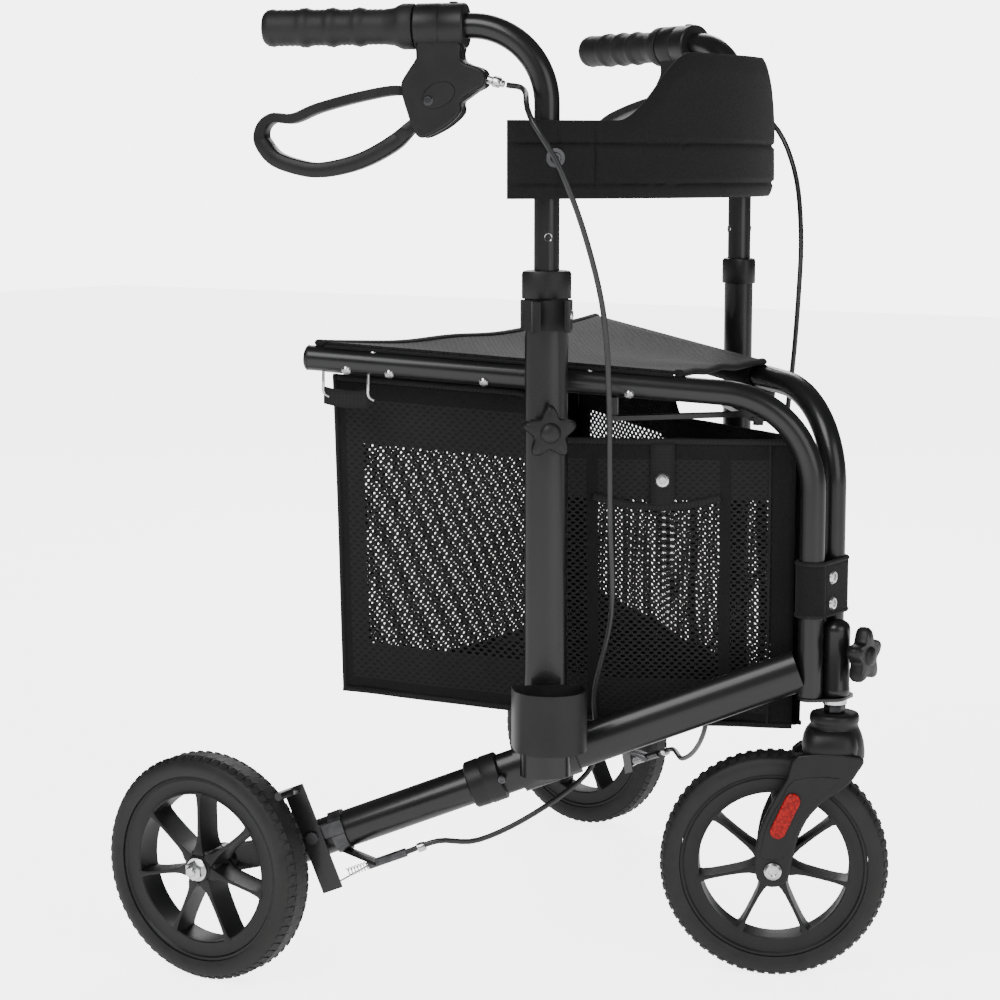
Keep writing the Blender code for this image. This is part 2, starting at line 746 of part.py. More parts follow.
def make_rear_stay(suffix, side, parent):
    """Round stay behind the collar, with a neck and a lug that holds the rear axle."""
    along = lower_direction(side)
    start = lower_line(side, COLLAR_DISTANCE) + along * 2 * GAP
    end = lower_line(side, STAY_END_DISTANCE)
    stay = rod("rear_stay_" + suffix, start, end, STAY_RADIUS)
    axis = axle_direction(side)
    face = wheel_centre(side) - axis * (HUB_HALF_LENGTH + SIDE_GAP)
    lug = rod("stay_lug_" + suffix, face - axis * LUG_THICKNESS, face, LUG_RADIUS, 14)
    heart = face - axis * LUG_THICKNESS / 2
    reach = end - along * 0.010 - heart
    neck = block(
        "stay_neck_" + suffix, (LUG_THICKNESS * 0.92, 0.0240, reach.length),
        axes_matrix(heart + reach / 2, reach, axis),
    )
    bore = rod("stay_bore_" + suffix, start - along * 0.004, end - along * 0.030, STAY_RADIUS - STAY_WALL)
    hole = rod("stay_hole_" + suffix, face - axis * 0.04, face + axis * 0.01, around(AXLE_RADIUS + GAP), ROUND)
    pocket = rod(
        "stay_pocket_" + suffix, face - axis * LUG_THICKNESS, face - axis * (LUG_THICKNESS + 0.030), 0.0100,
    )
    fuse(stay, lug, neck)
    carve(stay, bore, hole, pocket)
    return finish_piece(stay, "frame", parent)


def upright_axis(side, height):
    return place_at(side, UPRIGHT_OUT, UPRIGHT_AHEAD, height)


def make_upright(suffix, side, parent):
    across = rearward(side, UPRIGHT_SPLAY)
    half_long, half_short = OVAL_LONG / 2, OVAL_SHORT / 2
    foot, top = upright_axis(side, UPRIGHT_FOOT), upright_axis(side, UPRIGHT_TOP)
    tube = oval_rod("upright_" + suffix, foot, top, half_long, half_short, across)
    bore = oval_rod(
        "upright_bore_" + suffix, foot - UP * 0.002, top + UP * 0.002,
        half_long - UPRIGHT_WALL, half_short - UPRIGHT_WALL, across,
    )
    seat = upright_axis(side, KNOB_HEIGHT)
    hole = rod("upright_hole_" + suffix, seat, seat + outward(side, UPRIGHT_SPLAY) * 0.03, 0.0034, 12)
    carve(tube, bore, hole)
    return finish_piece(tube, "frame", parent)


def make_upright_cap(suffix, side, parent):
    """Moulded cap over the upright's top, which guides the handle tube."""
    across = rearward(side, UPRIGHT_SPLAY)
    half_long, half_short = OVAL_LONG / 2, OVAL_SHORT / 2
    foot, top = upright_axis(side, CAP_FOOT), upright_axis(side, CAP_TOP)
    cap = oval_rod("upright_cap_" + suffix, foot, top, half_long + CAP_WALL, half_short + CAP_WALL, across)
    socket = oval_rod(
        "cap_socket_" + suffix, foot - UP * 0.002, upright_axis(side, UPRIGHT_TOP + GAP),
        half_long + GAP, half_short + GAP, across,
    )
    bore = rod("cap_bore_" + suffix, foot - UP * 0.002, top + UP * 0.002, around(HANDLE_RADIUS + SLIDE_GAP))
    carve(cap, socket, bore)
    return finish_piece(cap, "plastic", parent)


def upright_station():
    """Level distance from the hinge to the place on the lower tube beside the upright."""
    offset = place_at(1, UPRIGHT_OUT - HINGE_OUT, UPRIGHT_AHEAD, 0) - place_at(1, 0, HINGE_AHEAD, 0)
    return offset.dot(rearward(1, LOWER_SPLAY))


def make_upright_foot(suffix, side, parent):
    """Cast foot: a sleeve round the lower tube and a socket that holds the upright beside it."""
    across = rearward(side, UPRIGHT_SPLAY)
    along = lower_direction(side)
    middle = lower_line(side, upright_station())
    half = along * FOOT_SLEEVE_LENGTH / 2
    sleeve = oval_rod(
        "upright_foot_" + suffix, middle - half, middle + half,
        OVAL_LONG / 2 + FOOT_SOCKET_WALL, OVAL_SHORT / 2 + FOOT_SOCKET_WALL, lower_square(side),
    )
    top = upright_axis(side, FOOT_SOCKET_TOP)
    floor = upright_axis(side, middle.z - 0.006)
    socket = oval_rod(
        "foot_socket_" + suffix, floor, top,
        OVAL_LONG / 2 + FOOT_SOCKET_WALL, OVAL_SHORT / 2 + FOOT_SOCKET_WALL, across,
    )
    bridge = upright_axis(side, middle.z + 0.008) - middle
    web = block(
        "foot_web_" + suffix, (0.030, 0.034, bridge.length),
        axes_matrix(middle + bridge / 2, bridge, UP),
    )
    tube_hole = oval_rod(
        "foot_tube_hole_" + suffix, middle - half * 2, middle + half * 2,
        OVAL_LONG / 2 + GAP, OVAL_SHORT / 2 + GAP, lower_square(side),
    )
    upright_hole = oval_rod(
        "foot_upright_hole_" + suffix, upright_axis(side, UPRIGHT_FOOT - GAP), top + UP * 0.004,
        OVAL_LONG / 2 + GAP, OVAL_SHORT / 2 + GAP, across,
    )
    fuse(sleeve, socket, web)
    carve(sleeve, tube_hole, upright_hole)
    return finish_piece(sleeve, "frame", parent)


def make_height_knob(suffix, side, parent):
    out = outward(side, UPRIGHT_SPLAY)
    centre = upright_axis(side, KNOB_HEIGHT) + out * (OVAL_SHORT / 2 + KNOB_STAND + KNOB_THICKNESS / 2)
    stud = (centre - upright_axis(side, KNOB_HEIGHT)).length - HANDLE_RADIUS - GAP
    return star_knob("height_knob_" + suffix, centre, out, KNOB_RADIUS, KNOB_THICKNESS, stud, parent)


# ------------------------------------------------------------------ handle pieces
def make_handle_tube(suffix, side, parent):
    foot = upright_axis(side, HANDLE_FOOT)
    corner = upright_axis(side, GRIP_HEIGHT)
    end = handle_point(side, GRIP_END - 0.006, GRIP_HEIGHT)
    path = rounded_path([foot, corner, end], HANDLE_BEND_RADIUS, 5)
    tube = bent_pipe("handle_tube_" + suffix, path, HANDLE_RADIUS, HANDLE_WALL, 4, foot)
    out = outward(side, UPRIGHT_SPLAY)
    for index in range(PIN_HOLE_COUNT):
        middle = upright_axis(side, PIN_HOLE_FIRST - index * PIN_HOLE_PITCH)
        hole = rod("pin_hole_%s_%d" % (suffix, index), middle - out * 0.02, middle + out * 0.02, PIN_HOLE_RADIUS, 6)
        carve(tube, hole)
    return finish_piece(tube, "frame", parent)


def make_grip(suffix, side, parent):
    """Rubber grip with a flange at the brake end, three finger ridges and a closed rear end."""
    bore = around(HANDLE_RADIUS + GAP)
    length = GRIP_END - GRIP_START
    waist = GRIP_RADIUS - 0.0016
    profile = [(0, length), (0.0130, length), (GRIP_RADIUS, length - 0.0060)]
    for ridge in (0.72, 0.54, 0.36):
        spot = ridge * length
        profile += [(waist, spot + 0.011), (GRIP_RADIUS, spot)]
    profile += [
        (waist, 0.0300), (GRIP_FLANGE_RADIUS, 0.0120), (GRIP_FLANGE_RADIUS, 0),
        (bore, 0), (bore, length - 0.0050), (0, length - 0.0050),
    ]
    start = handle_point(side, GRIP_START, GRIP_HEIGHT)
    grip = turned("handle_grip_" + suffix, profile, axes_matrix(start, rearward(side, HANDLE_SPLAY), UP), ROUND)
    return finish_piece(grip, "grip", parent)


def handle_plane(side, along, height):
    """Placement in a handle's vertical plane: local X back along the grip, local Y up."""
    back = rearward(side, HANDLE_SPLAY)
    normal = back.cross(UP)
    return axes_matrix(handle_point(side, along, height), normal, back)


def make_brake_housing(suffix, side, parent):
    """Housing: a clamp round the handle bar over a moulded body that holds the lever's pivot."""
    outline = below_grip(HOUSING_OUTLINE)
    body = plate(
        "brake_housing_" + suffix, [smooth_outline(outline, 0.006, 1)], HOUSING_THICKNESS,
        handle_plane(side, 0, 0),
    )
    start = handle_point(side, CLAMP_START, GRIP_HEIGHT)
    end = handle_point(side, CLAMP_END, GRIP_HEIGHT)
    clamp = rod("housing_clamp_" + suffix, start, end, CLAMP_RADIUS, 20)
    back = rearward(side, HANDLE_SPLAY)
    bore = rod("housing_bore_" + suffix, start - back * 0.03, end + back * 0.03, around(HANDLE_RADIUS + GAP))
    lever_room = block(
        "housing_slot_" + suffix, (0.080, 0.076, LEVER_WIDTH * 0.5 + 0.0016),
        handle_plane(side, 0.1265, GRIP_HEIGHT - 0.0765),
    )
    fuse(body, clamp)
    carve(body, bore, lever_room)
    return finish_piece(body, "plastic", parent)




def below_grip(points):
    """Outline points given as (distance along the handle, drop below the grip's axis)."""
    return [(along, GRIP_HEIGHT - drop) for along, drop in points]


def inset_outline(points, distance):
    """Closed outline moved inwards by a distance, corner by corner."""
    count = len(points)
    result = []
    area = sum(
        points[i - 1][0] * points[i][1] - points[i][0] * points[i - 1][1] for i in range(count)
    )
    turn = 1 if area > 0 else -1
    for index in range(count):
        corner = Vector(points[index])
        before = (corner - Vector(points[index - 1])).normalized()
        after = (Vector(points[(index + 1) % count]) - corner).normalized()
        normal_a = Vector((-before.y, before.x)) * turn
        normal_b = Vector((-after.y, after.x)) * turn
        middle = (normal_a + normal_b).normalized()
        result.append(corner + middle * distance / max(0.5, middle.dot(normal_a)))
    return result


def make_brake_lever(suffix, side, parent):
    """Loop lever: a closed band that the hand squeezes, narrow where it enters the housing."""
    corners = below_grip(LEVER_OUTER)
    outer = smooth_outline(corners, 0.02, 1)
    hole_corners = inset_outline(corners[2:14], LEVER_BAND)
    hole = smooth_outline(hole_corners, 0.02, 1)
    lever = plate("brake_lever_" + suffix, [outer, hole], LEVER_WIDTH, handle_plane(side, 0, 0))
    room = HOUSING_THICKNESS + 0.002
    cheeks = []
    for name, sign in (("a", -1), ("b", 1)):
        matrix = handle_plane(side, 0.0985, GRIP_HEIGHT - 0.0675)
        shift = Matrix.Translation((0, 0, sign * (LEVER_WIDTH * 0.25 + room / 2)))
        cheeks.append(block("lever_cheek_%s_%s" % (name, suffix), (0.064, 0.070, room), matrix @ shift))
    carve(lever, *cheeks)
    return finish_piece(lever, "plastic", parent)


def make_barrel_adjuster(suffix, side, parent):
    start = handle_point(side, 0.0510 - GAP, GRIP_HEIGHT - ADJUSTER_DROP)
    ahead = -rearward(side, HANDLE_SPLAY) * 0.96 - UP * 0.28
    adjuster = turned(
        "barrel_adjuster_" + suffix,
        [
            (0, 0.0150), (0.0026, 0.0150), (0.0030, 0.0120), (0.0046, 0.0110), (0.0046, 0.0050),
            (0.0036, 0.0042), (0.0036, 0.0012), (0, 0.0012),
        ],
        axes_matrix(start, ahead, UP), 10,
    )
    return finish_piece(adjuster, "chrome", parent)


# ------------------------------------------------------------------ brake cable
def smooth_route(knots, spacing):
    """Points at about this spacing on a smooth curve through the knots."""
    knots = [Vector(knot) for knot in knots]
    padded = [knots[0] * 2 - knots[1], *knots, knots[-1] * 2 - knots[-2]]
    points = []
    for p0, p1, p2, p3 in zip(padded, padded[1:], padded[2:], padded[3:]):
        count = max(1, round((p2 - p1).length / spacing))
        for step in range(count):
            t = step / count
            points.append(0.5 * (
                p1 * 2 + (p2 - p0) * t + (p0 * 2 - p1 * 5 + p2 * 4 - p3) * t ** 2
                + (p1 * 3 - p0 - p2 * 3 + p3) * t ** 3
            ))
    points.append(knots[-1])
    return points


def cable_knots(side):
    """Route of a brake cable: out of the lever's adjuster, round the upright and down to the wheel brake."""
    ahead = -rearward(side, HANDLE_SPLAY) * 0.96 - UP * 0.28
    exit_point = handle_point(side, 0.0510 - GAP, GRIP_HEIGHT - ADJUSTER_DROP) + ahead.normalized() * 0.0165
    stop = lower_line(side, CABLE_STOP_DISTANCE, CABLE_STOP_RISE, CABLE_STOP_OFF)
    leave = lower_direction(side)
    return [
        exit_point,
        exit_point + ahead.normalized() * 0.016,
        place_at(side, UPRIGHT_OUT + 0.0427, 0.2720, GRIP_HEIGHT - 0.0755),
        place_at(side, UPRIGHT_OUT + 0.0377, 0.2990, GRIP_HEIGHT - 0.1195),
        place_at(side, UPRIGHT_OUT + 0.0227, 0.3150, GRIP_HEIGHT - 0.1775),
        place_at(side, UPRIGHT_OUT + 0.0057, 0.3220, 0.5850),
        place_at(side, UPRIGHT_OUT - 0.0043, 0.3210, 0.5100),
        place_at(side, UPRIGHT_OUT - 0.0163, 0.3150, 0.4200),
        place_at(side, UPRIGHT_OUT - 0.0343, 0.3060, 0.3300),
        lower_line(side, 0.1740, 0.0400, -0.0200),
        lower_line(side, 0.1860, 0.0000, -0.0190),
        lower_line(side, 0.2040, -0.0280, -0.0160),
        lower_line(side, 0.2560, -0.0430, 0.0000),
        lower_line(side, 0.3050, -0.0460, 0.0120),
        stop - leave * 0.0480,
        stop - leave * 0.0180,
    ]




def make_brake_cable(suffix, side, parent):
    points = smooth_route(cable_knots(side), 0.036)
    cable = swept("brake_cable_" + suffix, points, CABLE_RADIUS, 2, upright_axis(side, KNOB_HEIGHT))
    return finish_piece(cable, "cable", parent)


# ------------------------------------------------------------------ brake at the rear wheel
def brake_pivot(side, off):
    return lower_line(side, BRAKE_PIVOT_DISTANCE, BRAKE_PIVOT_RISE, off)


def make_brake_mount(suffix, side, parent):
    """Bracket on the stay: a clamp band, the brake's pivot bolt and the tab that holds the cable's adjuster."""
    along = lower_direction(side)
    out = outward(side, LOWER_SPLAY)
    square = lower_square(side)
    middle = lower_line(side, BRAKE_PIVOT_DISTANCE - 0.020)
    band = rod("brake_mount_" + suffix, middle - along * 0.006, middle + along * 0.006, STAY_RADIUS + 0.0024)
    stop = lower_line(side, CABLE_STOP_DISTANCE, CABLE_STOP_RISE, CABLE_STOP_OFF)
    tab_start = middle - square * (STAY_RADIUS + 0.0010) + out * 0.004
    tab_end = stop + along * 0.0100
    leg = tab_end - tab_start
    tab = block(
        "mount_tab_" + suffix, (0.0028, 0.0120, leg.length + 0.006),
        axes_matrix(tab_start + leg / 2, leg, out.cross(leg)),
    )
    barrel = rod("mount_barrel_" + suffix, stop - along * 0.0176, stop + along * 0.0180, 0.0040, 8)
    seat = brake_pivot(side, 0)
    arm_face = STAY_RADIUS + 0.0030
    bolt = rod("mount_bolt_" + suffix, seat + out * 0.010, seat + out * (arm_face + BRAKE_ARM_THICKNESS + 0.0010), 0.0030, 10)
    lug = block(
        "mount_lug_" + suffix, (0.012, 0.034, 0.0060),
        axes_matrix(lower_line(side, BRAKE_PIVOT_DISTANCE - 0.010, BRAKE_PIVOT_RISE, STAY_RADIUS - 0.0010), out, square),
    )
    head = rod(
        "mount_head_" + suffix, seat + out * (arm_face + BRAKE_ARM_THICKNESS + 0.0004),
        seat + out * (arm_face + BRAKE_ARM_THICKNESS + 0.0040), 0.0056, 8,
    )
    hole = rod("mount_hole_" + suffix, middle - along * 0.06, middle + along * 0.06, around(STAY_RADIUS + GAP))
    fuse(band, tab, barrel, bolt, lug, head)
    carve(band, hole)
    return finish_piece(band, "plastic", parent)


def shoe_centre(side):
    """Middle of the brake shoe, above the tread at the front upper part of the wheel."""
    angle = math.radians(SHOE_ANGLE)
    reach = WHEEL_RADIUS + SHOE_GAP + SHOE_RADIUS
    ahead = -rearward(side, TOE_IN)
    return wheel_centre(side) + ahead * reach * math.cos(angle) + UP * reach * math.sin(angle)


def make_brake_arm(suffix, side, parent):
    """Brake arm: a strip that turns on the pivot bolt, with a shoe bar that reaches over the tread."""
    out = outward(side, LOWER_SPLAY)
    square = lower_square(side)
    face = STAY_RADIUS + 0.0030
    centre = brake_pivot(side, face + BRAKE_ARM_THICKNESS / 2)
    length = BRAKE_ARM_ABOVE + BRAKE_ARM_BELOW
    strip = block(
        "brake_arm_" + suffix, (length, BRAKE_ARM_WIDTH, BRAKE_ARM_THICKNESS),
        axes_matrix(centre + square * (BRAKE_ARM_ABOVE - BRAKE_ARM_BELOW) / 2, out, square),
    )
    top = centre + square * (BRAKE_ARM_ABOVE - 0.0040)
    shoe = shoe_centre(side)
    axis = axle_direction(side)
    bar_end = shoe - axis * 0.0060
    reach = bar_end - top
    bar = block(
        "arm_bar_" + suffix, (0.0028, 0.0100, reach.length + 0.004),
        axes_matrix(top + reach / 2, reach, UP),
    )
    pad = rod("arm_shoe_" + suffix, shoe - axis * 0.0090, shoe + axis * 0.0090, SHOE_RADIUS, 10)
    hole = rod("arm_hole_" + suffix, centre - out * 0.01, centre + out * 0.01, 0.0030 + RUN_GAP, 10)
    fuse(strip, bar, pad)
    carve(strip, hole)
    return finish_piece(strip, "frame", parent)


# ------------------------------------------------------------------ folding brace
def brace_eye(side):
    return place_at(side, rail_out(BRACE_AHEAD), BRACE_AHEAD, BRACE_HEIGHT)


def make_brace_link(suffix, side, parent):
    """Flat link from under a rail to the middle, where the right link lies on the left one."""
    lift = BRACE_THICKNESS / 2 + GAP
    level = UP * (lift if side < 0 else -lift)
    eye = brace_eye(side) + level
    middle = Vector((0, y_at(BRACE_AHEAD + BRACE_REACH), BRACE_HEIGHT)) + level
    run = middle - eye
    matrix = axes_matrix(eye + run / 2, UP, run)
    half = run.length / 2
    corners = []
    for sign in (1, -1):
        for step in range(5):
            angle = math.radians(-90 + 180 * step / 4)
            corners.append((
                sign * (half + BRACE_HALF_WIDTH * math.cos(angle)), sign * BRACE_HALF_WIDTH * math.sin(angle),
            ))
    link = plate("brace_link_" + suffix, [corners], BRACE_THICKNESS, matrix)
    rail_face = rail_height(BRACE_AHEAD) - RAIL_RADIUS - 0.0012
    post = rod("brace_post_" + suffix, eye, Vector((eye.x, eye.y, rail_face)), 0.0040, 8)
    fuse(link, post)
    lift = BRACE_THICKNESS / 2 * (1 if side < 0 else -1)
    rivet = rod(
        "brace_rivet_" + suffix, middle, middle + UP * (lift * 2 + (0.0014 if side < 0 else -0.0014)),
        BRACE_PIN_RADIUS * 1.6, 8,
    )
    fuse(link, rivet)
    return finish_piece(link, "frame", parent)


# ------------------------------------------------------------------ head and caster
def make_hinge_plate(parent):
    """Base plate of the head: two hinge posts stand on it inside the front tubes, the caster stem goes through it."""
    reach = 0.0125
    corners = [
        (-HINGE_OUT - reach, y_at(HINGE_AHEAD) + 0.004), (-HINGE_OUT - reach, y_at(HINGE_AHEAD) - 0.004),
        (-SOCKET_RADIUS - 0.001, y_at(SOCKET_AHEAD + SOCKET_RADIUS)),
        (SOCKET_RADIUS + 0.001, y_at(SOCKET_AHEAD + SOCKET_RADIUS)),
        (HINGE_OUT + reach, y_at(HINGE_AHEAD) - 0.004), (HINGE_OUT + reach, y_at(HINGE_AHEAD) + 0.004),
        (HINGE_OUT, y_at(HINGE_AHEAD) + reach), (-HINGE_OUT, y_at(HINGE_AHEAD) + reach),
    ]
    middle = PLATE_FOOT + PLATE_THICKNESS / 2
    base = plate("hinge_plate", [smooth_outline(corners, 0.006, 1)], PLATE_THICKNESS, Matrix.Translation((0, 0, middle)))
    posts = []
    for suffix, side in SIDES:
        foot = place_at(side, HINGE_OUT, HINGE_AHEAD, middle)
        top = place_at(side, HINGE_OUT, HINGE_AHEAD, FRONT_TUBE_FOOT + 0.070)
        posts.append(rod("hinge_post_" + suffix, foot, top, RAIL_RADIUS - RAIL_WALL - RUN_GAP, ROUND))
    stem_hole = rod(
        "plate_stem_hole", place_at(1, 0, SOCKET_AHEAD, PLATE_FOOT - 0.01),
        place_at(1, 0, SOCKET_AHEAD, PLATE_FOOT + 0.02), around(STEM_RADIUS + RUN_GAP),
    )
    fuse(base, *posts)
    carve(base, stem_hole)
    return finish_piece(base, "frame", parent)


def make_caster_socket(parent):
    """Upright socket that the caster's stem turns in, with a domed top."""
    foot = PLATE_FOOT + PLATE_THICKNESS + GAP
    socket = turned(
        "caster_socket",
        [
            (0, SOCKET_TOP + 0.0040), (0.0070, SOCKET_TOP + 0.0034), (0.0110, SOCKET_TOP + 0.0010),
            (SOCKET_RADIUS, SOCKET_TOP - 0.0020), (SOCKET_RADIUS, foot), (around(STEM_RADIUS + RUN_GAP), foot),
            (around(STEM_RADIUS + RUN_GAP), SOCKET_TOP - 0.0060), (0, SOCKET_TOP - 0.0060),
        ],
        Matrix.Translation(place_at(1, 0, SOCKET_AHEAD, 0)), ROUND,
    )
    start = place_at(1, 0, SOCKET_AHEAD, FRONT_KNOB_HEIGHT)
    hole = rod("socket_knob_hole", start, place_at(1, 0, SOCKET_AHEAD + 0.02, FRONT_KNOB_HEIGHT), 0.0034, 12)
    carve(socket, hole)
    return finish_piece(socket, "frame", parent)


def make_front_knob(parent):
    """Knob in front of the socket; its stud clamps the caster's stem."""
    ahead = Vector((0, -1, 0))
    reach = SOCKET_RADIUS + FRONT_KNOB_STAND + KNOB_THICKNESS / 2
    centre = place_at(1, 0, SOCKET_AHEAD, FRONT_KNOB_HEIGHT) + ahead * reach
    stud = reach - STEM_RADIUS - RUN_GAP
    return star_knob("front_knob", centre, ahead, KNOB_RADIUS + 0.002, KNOB_THICKNESS, stud, parent)


def make_caster_stem(parent):
    """Stem of the caster: it turns in the socket, with a bright washer and a nut above the crown."""
    washer_top = PLATE_FOOT - GAP
    stem = turned(
        "caster_stem",
        [
            (0, SOCKET_TOP - 0.0100), (STEM_RADIUS - 0.001, SOCKET_TOP - 0.0100), (STEM_RADIUS, SOCKET_TOP - 0.0115),
            (STEM_RADIUS, washer_top), (0.0106, washer_top), (0.0106, washer_top - 0.0052),
            (0.0088, washer_top - 0.0054), (0.0088, CROWN_TOP + GAP), (STEM_RADIUS, CROWN_TOP + GAP),
            (STEM_RADIUS, CROWN_TOP - 0.0230), (0, CROWN_TOP - 0.0230),
        ],
        Matrix.Translation(place_at(1, 0, SOCKET_AHEAD, 0)), ROUND,
    )
    return finish_piece(stem, "chrome", parent)


def front_centre():
    return place_at(1, 0, SOCKET_AHEAD, WHEEL_RADIUS) - fork_ahead() * FORK_TRAIL


def fork_side_outline():
    """Side view of a fork leg: distance ahead of the axle and height above it."""
    corners = [
        (0.0740, 0.1040), (0.0710, 0.0900), (0.0600, 0.0760), (0.0430, 0.0640), (0.0280, 0.0460),
        (0.0185, 0.0220), (0.0150, 0.0000), (0.0110, -0.0120), (-0.0010, -0.0155), (-0.0125, -0.0110),
        (-0.0160, 0.0020), (-0.0155, 0.0200), (-0.0105, 0.0410), (0.0000, 0.0640), (0.0110, 0.0830),
        (0.0210, 0.1040),
    ]
    return corners


def make_fork(parent):
    """Moulded fork: a crown round the stem, two curved legs and bosses that carry the axle."""
    centre = front_centre()
    across = fork_across()
    axis_point = place_at(1, 0, SOCKET_AHEAD, 0)
    crown = turned(
        "fork",
        [
            (0, CROWN_TOP), (0.0205, CROWN_TOP), (0.0216, CROWN_TOP - 0.0090),
            (0.0265, CROWN_TOP - 0.0270), (0.0270, CROWN_TOP - 0.0400), (0.0200, CROWN_TOP - 0.0560),
            (0, CROWN_TOP - 0.0560),
        ],
        Matrix.Translation(axis_point), 18,
    )
    pieces = []
    middle = FORK_LEG_INSIDE + FORK_LEG_THICKNESS / 2
    for name, sign in (("right", 1), ("left", -1)):
        matrix = axes_matrix(centre + across * sign * middle, across, fork_ahead())
        if matrix.col[1].z < 0:
            matrix = axes_matrix(centre + across * sign * middle, -across, fork_ahead())
        pieces.append(plate("fork_leg_" + name, [fork_side_outline()], FORK_LEG_THICKNESS, matrix))
        start = centre + across * sign * (HUB_HALF_LENGTH + SIDE_GAP)
        pieces.append(rod("fork_boss_" + name, start, centre + across * sign * (middle + 0.001), 0.0095, ROUND))
    shoulder = centre + fork_ahead() * (FORK_TRAIL - 0.003) + UP * 0.1020
    pieces.append(block(
        "fork_shoulder", (0.046, 2 * (FORK_LEG_INSIDE + FORK_LEG_THICKNESS) - 0.0014, 0.022),
        axes_matrix(shoulder, UP, fork_ahead()), 0.004,
    ))
    room = rod(
        "fork_wheel_room", centre - across * FORK_LEG_INSIDE, centre + across * FORK_LEG_INSIDE,
        WHEEL_RADIUS + 0.0045, WHEEL_STEPS,
    )
    bosses = [piece for piece in pieces if piece.name.startswith("fork_boss")]
    others = [piece for piece in pieces if not piece.name.startswith("fork_boss")]
    fuse(crown, *others)
    carve(crown, room)
    fuse(crown, *bosses)
    axle_hole = rod("fork_axle_hole", centre - across * 0.05, centre + across * 0.05, around(0.0045 + GAP, 10), 10)
    stem_hole = rod(
        "fork_stem_hole", axis_point + UP * (CROWN_TOP - 0.0236), axis_point + UP * (CROWN_TOP + 0.01),
        around(STEM_RADIUS + GAP),
    )
    carve(crown, axle_hole, stem_hole)
    return finish_piece(crown, "plastic", parent)


def make_fork_reflector(suffix, sign, parent):
    """Long red reflector on the outside of a fork leg."""
    centre = front_centre()
    across = fork_across() * sign
    ahead = fork_ahead()
    up_leg = (ahead * 0.41 + UP * 0.912).normalized()
    face = FORK_LEG_INSIDE + FORK_LEG_THICKNESS + GAP
    spot = centre + ahead * 0.0100 + UP * 0.0500 + across * (face + 0.0012)
    outline = []
    for end in (1, -1):
        for step in range(7):
            angle = math.radians(-90 + 180 * step / 6)
            outline.append((
                end * (0.0150 + 0.0068 * math.cos(angle)), end * 0.0068 * math.sin(angle),
            ))
    lens = plate("fork_reflector_" + suffix, [outline], 0.0024, axes_matrix(spot, across, up_leg))
    return finish_piece(lens, "reflector", parent)


def make_front_axle(parent):
    face = FORK_LEG_INSIDE + FORK_LEG_THICKNESS + GAP
    axle = turned(
        "front_axle",
        [
            (0, face + 0.0052), (0.0050, face + 0.0050), (0.0078, face + 0.0030), (0.0078, face),
            (0.0045, face), (0.0045, -face), (0.0078, -face), (0.0078, -face - 0.0030), (0, -face - 0.0040),
        ],
        axes_matrix(front_centre(), fork_across(), UP), ROUND,
    )
    return finish_piece(axle, "chrome", parent)


# ------------------------------------------------------------------ soft parts
def make_seat(parent):
    """Fabric seat between the rails, sagging towards its middle."""
    lift = RAIL_RADIUS + SEAT_THICKNESS / 2 + 2 * GAP

    def surface(u, v):
        ahead = SEAT_REAR_AHEAD + (SEAT_FRONT_AHEAD - SEAT_REAR_AHEAD) * v
        share = 2 * u - 1
        sag = SEAT_SAG * (1 - share ** 4) * math.sin(math.pi * (0.12 + 0.80 * v)) * rail_out(ahead) / rail_out(SEAT_REAR_AHEAD)
        height = rail_height(ahead) + lift - min(sag, SEAT_SAG)
        return Vector((rail_out(ahead) * share, y_at(ahead), height))

    seat = sheet("seat", 8, 6, surface, SEAT_THICKNESS)
    return finish_piece(seat, "mesh", parent)


def bag_half_width(ahead):
    return rail_out(ahead) - BAG_INSET / math.cos(math.radians(RAIL_SPLAY))


def bag_rim(ahead):
    """Height of the bag's rim: close under the rail behind, lower in front to leave room for the brace."""
    high = rail_height(ahead) - BAG_RIM_BELOW_RAIL
    share = min(1.0, max(0.0, (ahead - 0.205) / 0.030))
    smooth = share * share * (3 - 2 * share)
    return high + (BAG_FRONT_RIM - high) * smooth


def bag_floor(ahead):
    share = (ahead - BAG_REAR_AHEAD) / (BAG_FRONT_AHEAD - BAG_REAR_AHEAD)
    return BAG_FLOOR_REAR + (BAG_FLOOR_FRONT - BAG_FLOOR_REAR) * min(1.0, share * 1.6)


def bag_outline():
    """Plan of the bag, once round: (out, ahead), from the rear right corner over the front to the rear left."""
    stations = 8
    right = []
    for step in range(stations + 1):
        ahead = BAG_REAR_AHEAD + 0.012 + (BAG_FRONT_AHEAD - BAG_REAR_AHEAD - 0.012) * step / stations
        right.append((-bag_half_width(ahead), ahead))
    left = [(-out, ahead) for out, ahead in reversed(right)]
    corner = bag_half_width(BAG_REAR_AHEAD + 0.012) - 0.012
    rear = [(corner * (1 - 2 * step / 6), BAG_REAR_AHEAD) for step in range(1, 6)]
    return right + left + rear


def make_bag(parent):
    """Open-topped fabric bag under the seat, narrow in front, hung inside the side frames."""
    outline = bag_outline()
    levels = 2
    bm = bmesh.new()
    rings = []
    for level in range(levels + 1):
        share = level / levels
        ring = []
        for out, ahead in outline:
            top, foot = bag_rim(ahead), bag_floor(ahead)
            draw_in = 1 - 0.05 * share
            ring.append(bm.verts.new((out * draw_in, y_at(ahead), top + (foot - top) * share)))
        rings.append(ring)
    count = len(outline)
    for upper, lower in zip(rings, rings[1:]):
        for index in range(count):
            follow = (index + 1) % count
            bm.faces.new((upper[index], upper[follow], lower[follow], lower[index]))
    bottom = bm.faces.new(rings[-1])
    bmesh.ops.triangulate(bm, faces=[bottom])
    bag = mesh_object("bag", bm, Matrix.Identity(4))
    solidify = bag.modifiers.new("wall", "SOLIDIFY")
    solidify.thickness = BAG_WALL
    solidify.offset = -1
    solidify.use_even_offset = True
    return finish_piece(bag, "mesh", parent)


